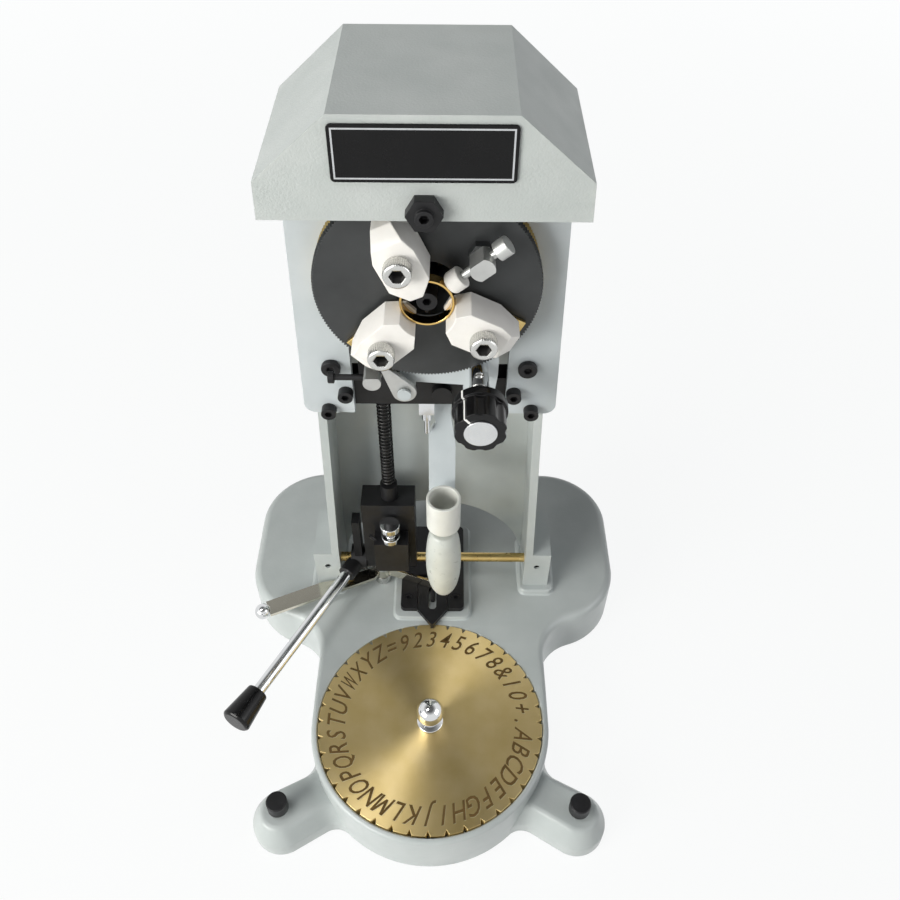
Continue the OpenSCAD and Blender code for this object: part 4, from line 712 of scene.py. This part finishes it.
# white paper floor and plain studio: metres, and shares of full white
stage = {"white": "#fdfefe", "paper": "#f4f4f2", "paperRough": 0.9, "half": 4.0, "drop": 0.0002, "near": 0.25,
         "far": 1.2, "nearShare": 0.92, "roomLight": 0.12, "ceilingFrom": 0.6, "ceilingTo": 0.9,
         "ceilingLow": 0.15}


# paper that takes shadows near the machine and is one with the backdrop far off
def makeFloor():
    mesh = bpy.data.meshes.new("floor")
    s = stage["half"]
    mesh.from_pydata([(-s, -s, 0), (s, -s, 0), (s, s, 0), (-s, s, 0)], [], [(0, 1, 2, 3)])
    floor = bpy.data.objects.new("floor", mesh)
    floor.location.z = -stage["drop"]
    bpy.context.scene.collection.objects.link(floor)
    mat, tree, shader = newMaterial("white_paper_floor")
    shader.inputs["Base Color"].default_value = srgb(stage["paper"])
    shader.inputs["Roughness"].default_value = stage["paperRough"]
    glow = put(tree, "ShaderNodeEmission", {"Color": srgb(stage["white"]), "Strength": 1.0})
    where = put(tree, "ShaderNodeTexCoord").outputs["Object"]
    away = put(tree, "ShaderNodeVectorMath", {0: where}, operation="LENGTH").outputs["Value"]
    even = put(tree, "ShaderNodeMapRange", {
        "Value": away, "From Min": stage["near"], "From Max": stage["far"],
        "To Min": stage["nearShare"], "To Max": 1.0}).outputs[0]
    share = put(tree, "ShaderNodeMath", {0: seenByCamera(tree), 1: even}, operation="MULTIPLY")
    both = put(tree, "ShaderNodeMixShader", {0: share.outputs[0], 1: shader.outputs[0], 2: glow.outputs[0]})
    output = [n for n in tree.nodes if n.type == "OUTPUT_MATERIAL"][0]
    tree.links.new(both.outputs[0], output.inputs["Surface"])
    mesh.materials.append(mat)


# a white backdrop; in reflections its ceiling is darker, and the room's own light is weak
def makeStudio():
    world = bpy.data.worlds.new("studio")
    world.use_nodes = True
    bpy.context.scene.world = world
    tree = world.node_tree
    tree.nodes.clear()
    aim = put(tree, "ShaderNodeTexCoord").outputs["Generated"]  # in a world this is the direction in the room
    height = put(tree, "ShaderNodeSeparateXYZ", {0: aim}).outputs["Z"]
    ceiling = put(tree, "ShaderNodeMapRange", {
        "Value": height, "From Min": stage["ceilingFrom"], "From Max": stage["ceilingTo"],
        "To Min": 1.0, "To Max": stage["ceilingLow"]}).outputs[0]
    direct = put(tree, "ShaderNodeLightPath").outputs["Is Camera Ray"]
    plain = put(tree, "ShaderNodeMath", {0: direct, 1: ceiling}, operation="MAXIMUM").outputs[0]
    level = put(tree, "ShaderNodeMapRange", {"Value": seenByCamera(tree), "To Min": stage["roomLight"],
                                             "To Max": plain}).outputs[0]
    sky = put(tree, "ShaderNodeBackground", {"Color": srgb(stage["white"]), "Strength": level})
    put(tree, "ShaderNodeOutputWorld", {"Surface": sky.outputs[0]})


# a rectangular lamp aimed at a point; metres
def areaLight(name, at, target, size, watts, colour):
    data = bpy.data.lights.new(name, "AREA")
    data.shape = "RECTANGLE"
    data.size, data.size_y = size
    data.energy = watts
    data.color = srgb(colour)[:3]
    obj = bpy.data.objects.new(name, data)
    obj.location = at
    obj.rotation_euler = (Vector(target) - Vector(at)).to_track_quat("-Z", "Y").to_euler()
    bpy.context.scene.collection.objects.link(obj)


makeFloor()
makeStudio()
lamps = {  # place, aim, size, watts and colour
    "key": ((-0.88, -0.7, 0.52), (0, 0.05, 0.15), (0.8, 0.6), 15.0, "#fffefa"),
    "overhead": ((-0.33, -0.12, 1.0), (0, 0, 0.03), (0.2, 0.4), 2.2, "#ffffff"),
    "fill": ((1.05, -0.25, 0.6), (0, 0.05, 0.12), (0.8, 0.6), 3.2, "#fbfcff"),
}
for name, settings in lamps.items():
    areaLight(name, *settings)
bpy.context.scene.view_settings.view_transform = "Standard"
print("stage made")
